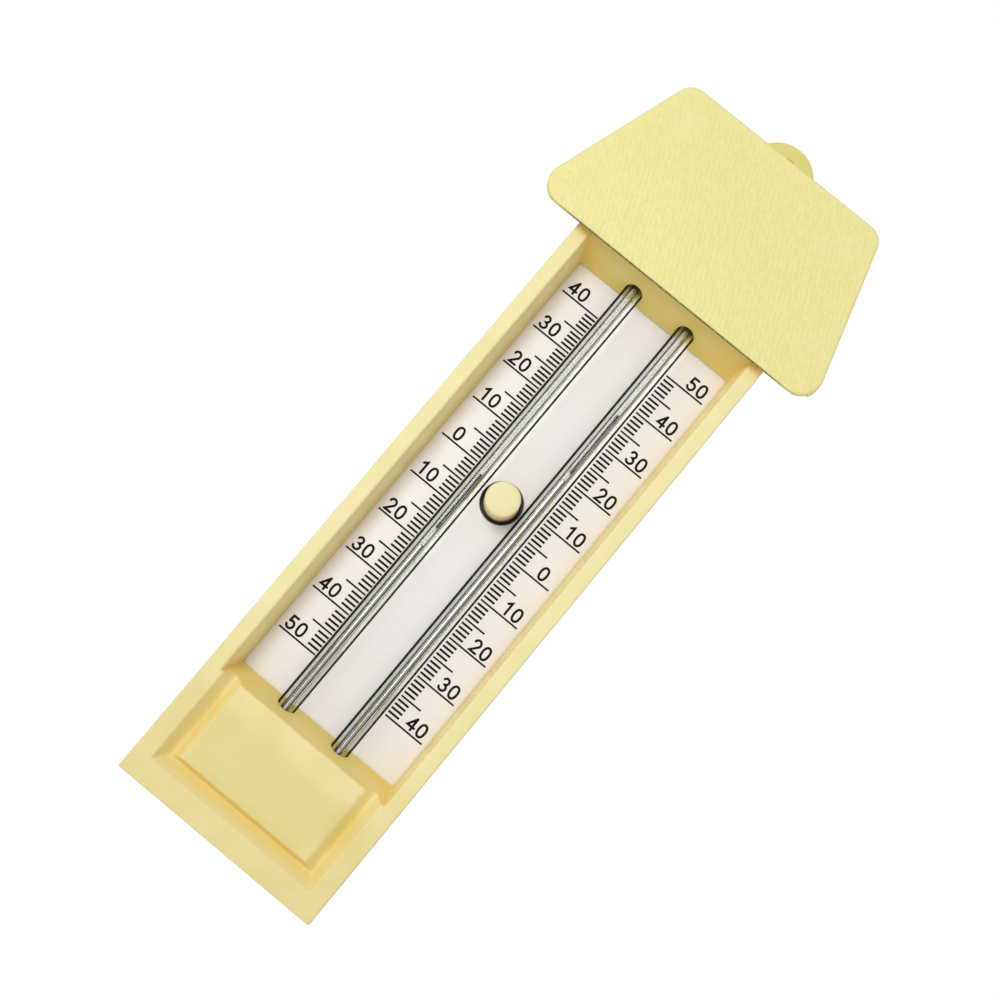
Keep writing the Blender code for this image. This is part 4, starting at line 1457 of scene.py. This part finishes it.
# ==============================================================================
# reset button, its spring and what it carries
# ==============================================================================
# the crown of the button stands a little prouder than its plain solid
front, rear = 0.9 - BUTTON_LOW[1], -BUTTON_HIGH[1]
shoulder = 13.1
profile = rounded(
    (
        (0.0, front - 0.05),
        (BUTTON_R - 1.6, front),
        (BUTTON_R, front - 0.12),
        (BUTTON_R, shoulder),
        (2.0, shoulder),
        (2.0, rear),
        (0.0, rear),
    ),
    0.75,
    8,
)
button = lathe("button_cap", profile, at(0.0, 0.0, BUTTON_H), "-Y", 72)
shade(button, 32.0)
dress(button, CREAM_BUTTON, "reset", "case_cream", "reset_button")

spring_r = (SPRING_HIGH[0] - SPRING_LOW[0]) / 2 - 0.35
start_y, end_y = SPRING_LOW[1] + 0.35, SPRING_HIGH[1] - 0.35
turns, per_turn = 4.5, 36
path = []
total = int(turns * per_turn)
for i in range(total + 1):
    t = i / total
    # closed end turns: the coil is flat over its first and last half turn
    flat = 0.5 / turns
    along = min(max((t - flat * 0.5) / (1 - flat), 0.0), 1.0)
    angle = 2 * math.pi * turns * t
    path.append(
        at(spring_r * math.cos(angle), start_y + (end_y - start_y) * along, BUTTON_H + spring_r * math.sin(angle))
    )
spring = sweep("coil_spring", path, 0.35, 12)
shade(spring, 60.0)
dress(spring, SPRING, "case", "spring_steel", "return_spring")
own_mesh(spring)

for node, look in (
    ("magnet_carrier", CARRIER),
    ("min_magnet", MAGNET),
    ("max_magnet", MAGNET),
    ("stem_retainer", SPRING),
    ("spirit_bulb_fill", SPIRIT),
    ("spirit_chamber_fill", SPIRIT),
):
    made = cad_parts[node]
    for index in range(max(1, len(made.material_slots))):
        if index < len(made.material_slots):
            made.material_slots[index].material = look
        else:
            made.data.materials.append(look)


# ==============================================================================
# foam pads
# ==============================================================================
def foam(name, node, low, high, groove=None):
    """A cut foam block with soft edges and a slightly uneven skin."""
    work = bmesh.new()
    counts = [max(2, int(round((high[k] - low[k]) / 1.1))) for k in range(3)]
    bmesh.ops.create_cube(work, size=1.0)
    for axis in range(3):
        normal = [0.0, 0.0, 0.0]
        normal[axis] = 1.0
        for i in range(1, counts[axis]):
            spot = [0.0, 0.0, 0.0]
            spot[axis] = -0.5 + i / counts[axis]
            bmesh.ops.bisect_plane(
                work, geom=work.verts[:] + work.edges[:] + work.faces[:], plane_co=spot, plane_no=normal
            )
    size = [high[k] - low[k] for k in range(3)]
    for vert in work.verts:
        local = [vert.co[k] * size[k] for k in range(3)]
        soft = 0.8
        core = [max(-size[k] / 2 + soft, min(size[k] / 2 - soft, local[k])) for k in range(3)]
        away = Vector(local) - Vector(core)
        if away.length > soft * 1.0001:
            away = away.normalized() * soft
        spot = Vector(core) + away
        ripple = noise.noise(Vector(local) * 0.9) * 0.10
        spot = spot * (1.0 - 0.004 + 0.0) - (away.normalized() * max(ripple, 0.0) if away.length > 1e-6 else Vector())
        x, y, h = [spot[k] + (low[k] + high[k]) / 2 for k in range(3)]
        if groove:
            y = max(y, groove(x, h))
        vert.co = at(x, y, h)
    made = object_of(work, name)
    shade(made, 60.0)
    dress(made, FOAM, "case", "foam_grey", node)
    return made


foam("bulb_pad", "bulb_cushion", CUSHION_LOW, CUSHION_HIGH)
foam("bend_pad", "tube_saddle", SADDLE_LOW, SADDLE_HIGH)


# ==============================================================================
# screws
# ==============================================================================
def screw(name, node):
    """A pan head screw with a cross recess and a rolled thread, its head towards the wall."""
    low, high = extent(node)
    x, h = (low[0] + high[0]) / 2, (low[2] + high[2]) / 2
    head_r = (high[0] - low[0]) / 2
    tip = -low[1]
    head_back, head_front = -high[1], 1.8
    profile = rounded(
        (
            (0.0, tip),
            (0.25, tip - 0.05),
            (1.0, tip - 1.5),
            (1.0, head_front),
            (head_r, head_front),
            (head_r, head_back + 0.45),
            (head_r - 0.75, head_back),
            (0.0, head_back),
        ),
        0.22,
        3,
    )
    made = lathe(name, profile, at(x, 0.0, h), "-Y", 32)
    ridge = bmesh.new()
    turns, steps = 8, 16
    rings = []
    for i in range(turns * steps + 1):
        angle = 2 * math.pi * i / steps
        along = head_front + 0.7 + (tip - 1.9 - head_front - 0.7) * i / (turns * steps)
        reach = 0.26 * min(1.0, i / 8, (turns * steps - i) / 8)
        out = Vector((math.cos(angle), 0.0, math.sin(angle)))
        centre = at(x, -along, h)
        rings.append(
            [
                ridge.verts.new(centre + (out * 0.9 + Vector((0.0, -0.24, 0.0))) * MM),
                ridge.verts.new(centre + out * (1.0 + max(reach, 0.02)) * MM),
                ridge.verts.new(centre + (out * 0.9 + Vector((0.0, 0.24, 0.0))) * MM),
            ]
        )
    for a, b in zip(rings, rings[1:]):
        for k in range(3):
            m = (k + 1) % 3
            ridge.faces.new((a[k], a[m], b[m], b[k]))
    ridge.faces.new(rings[0])
    ridge.faces.new(list(reversed(rings[-1])))
    combine(made, [object_of(ridge, "thread")], "UNION")
    cutters = []
    for k in range(2):
        wide, tall = (1.45, 0.27) if k else (0.27, 1.45)
        work = bmesh.new()
        bmesh.ops.create_cube(work, size=1.0)
        for vert in work.verts:
            deep = vert.co.y < 0
            pinch = 0.45 if deep else 1.0
            vert.co = at(
                x + vert.co.x * 2 * wide * pinch,
                -1.35 - 0.01 * k if deep else 1.0,
                h + vert.co.z * 2 * tall * pinch,
            )
        cutters.append(object_of(work, "cross"))
    combine(made, cutters)
    shade(made, 35.0)
    dress(made, ZINC, "case", "screw_zinc", node)


for index in range(1, 5):
    screw(f"case_screw_{index}", f"cover_screw_{index}")
for index in range(1, 3):
    screw(f"roof_screw_{index}", f"hood_screw_{index}")


# ==============================================================================
# size, and the end
# ==============================================================================
bpy.context.view_layer.update()
low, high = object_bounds()
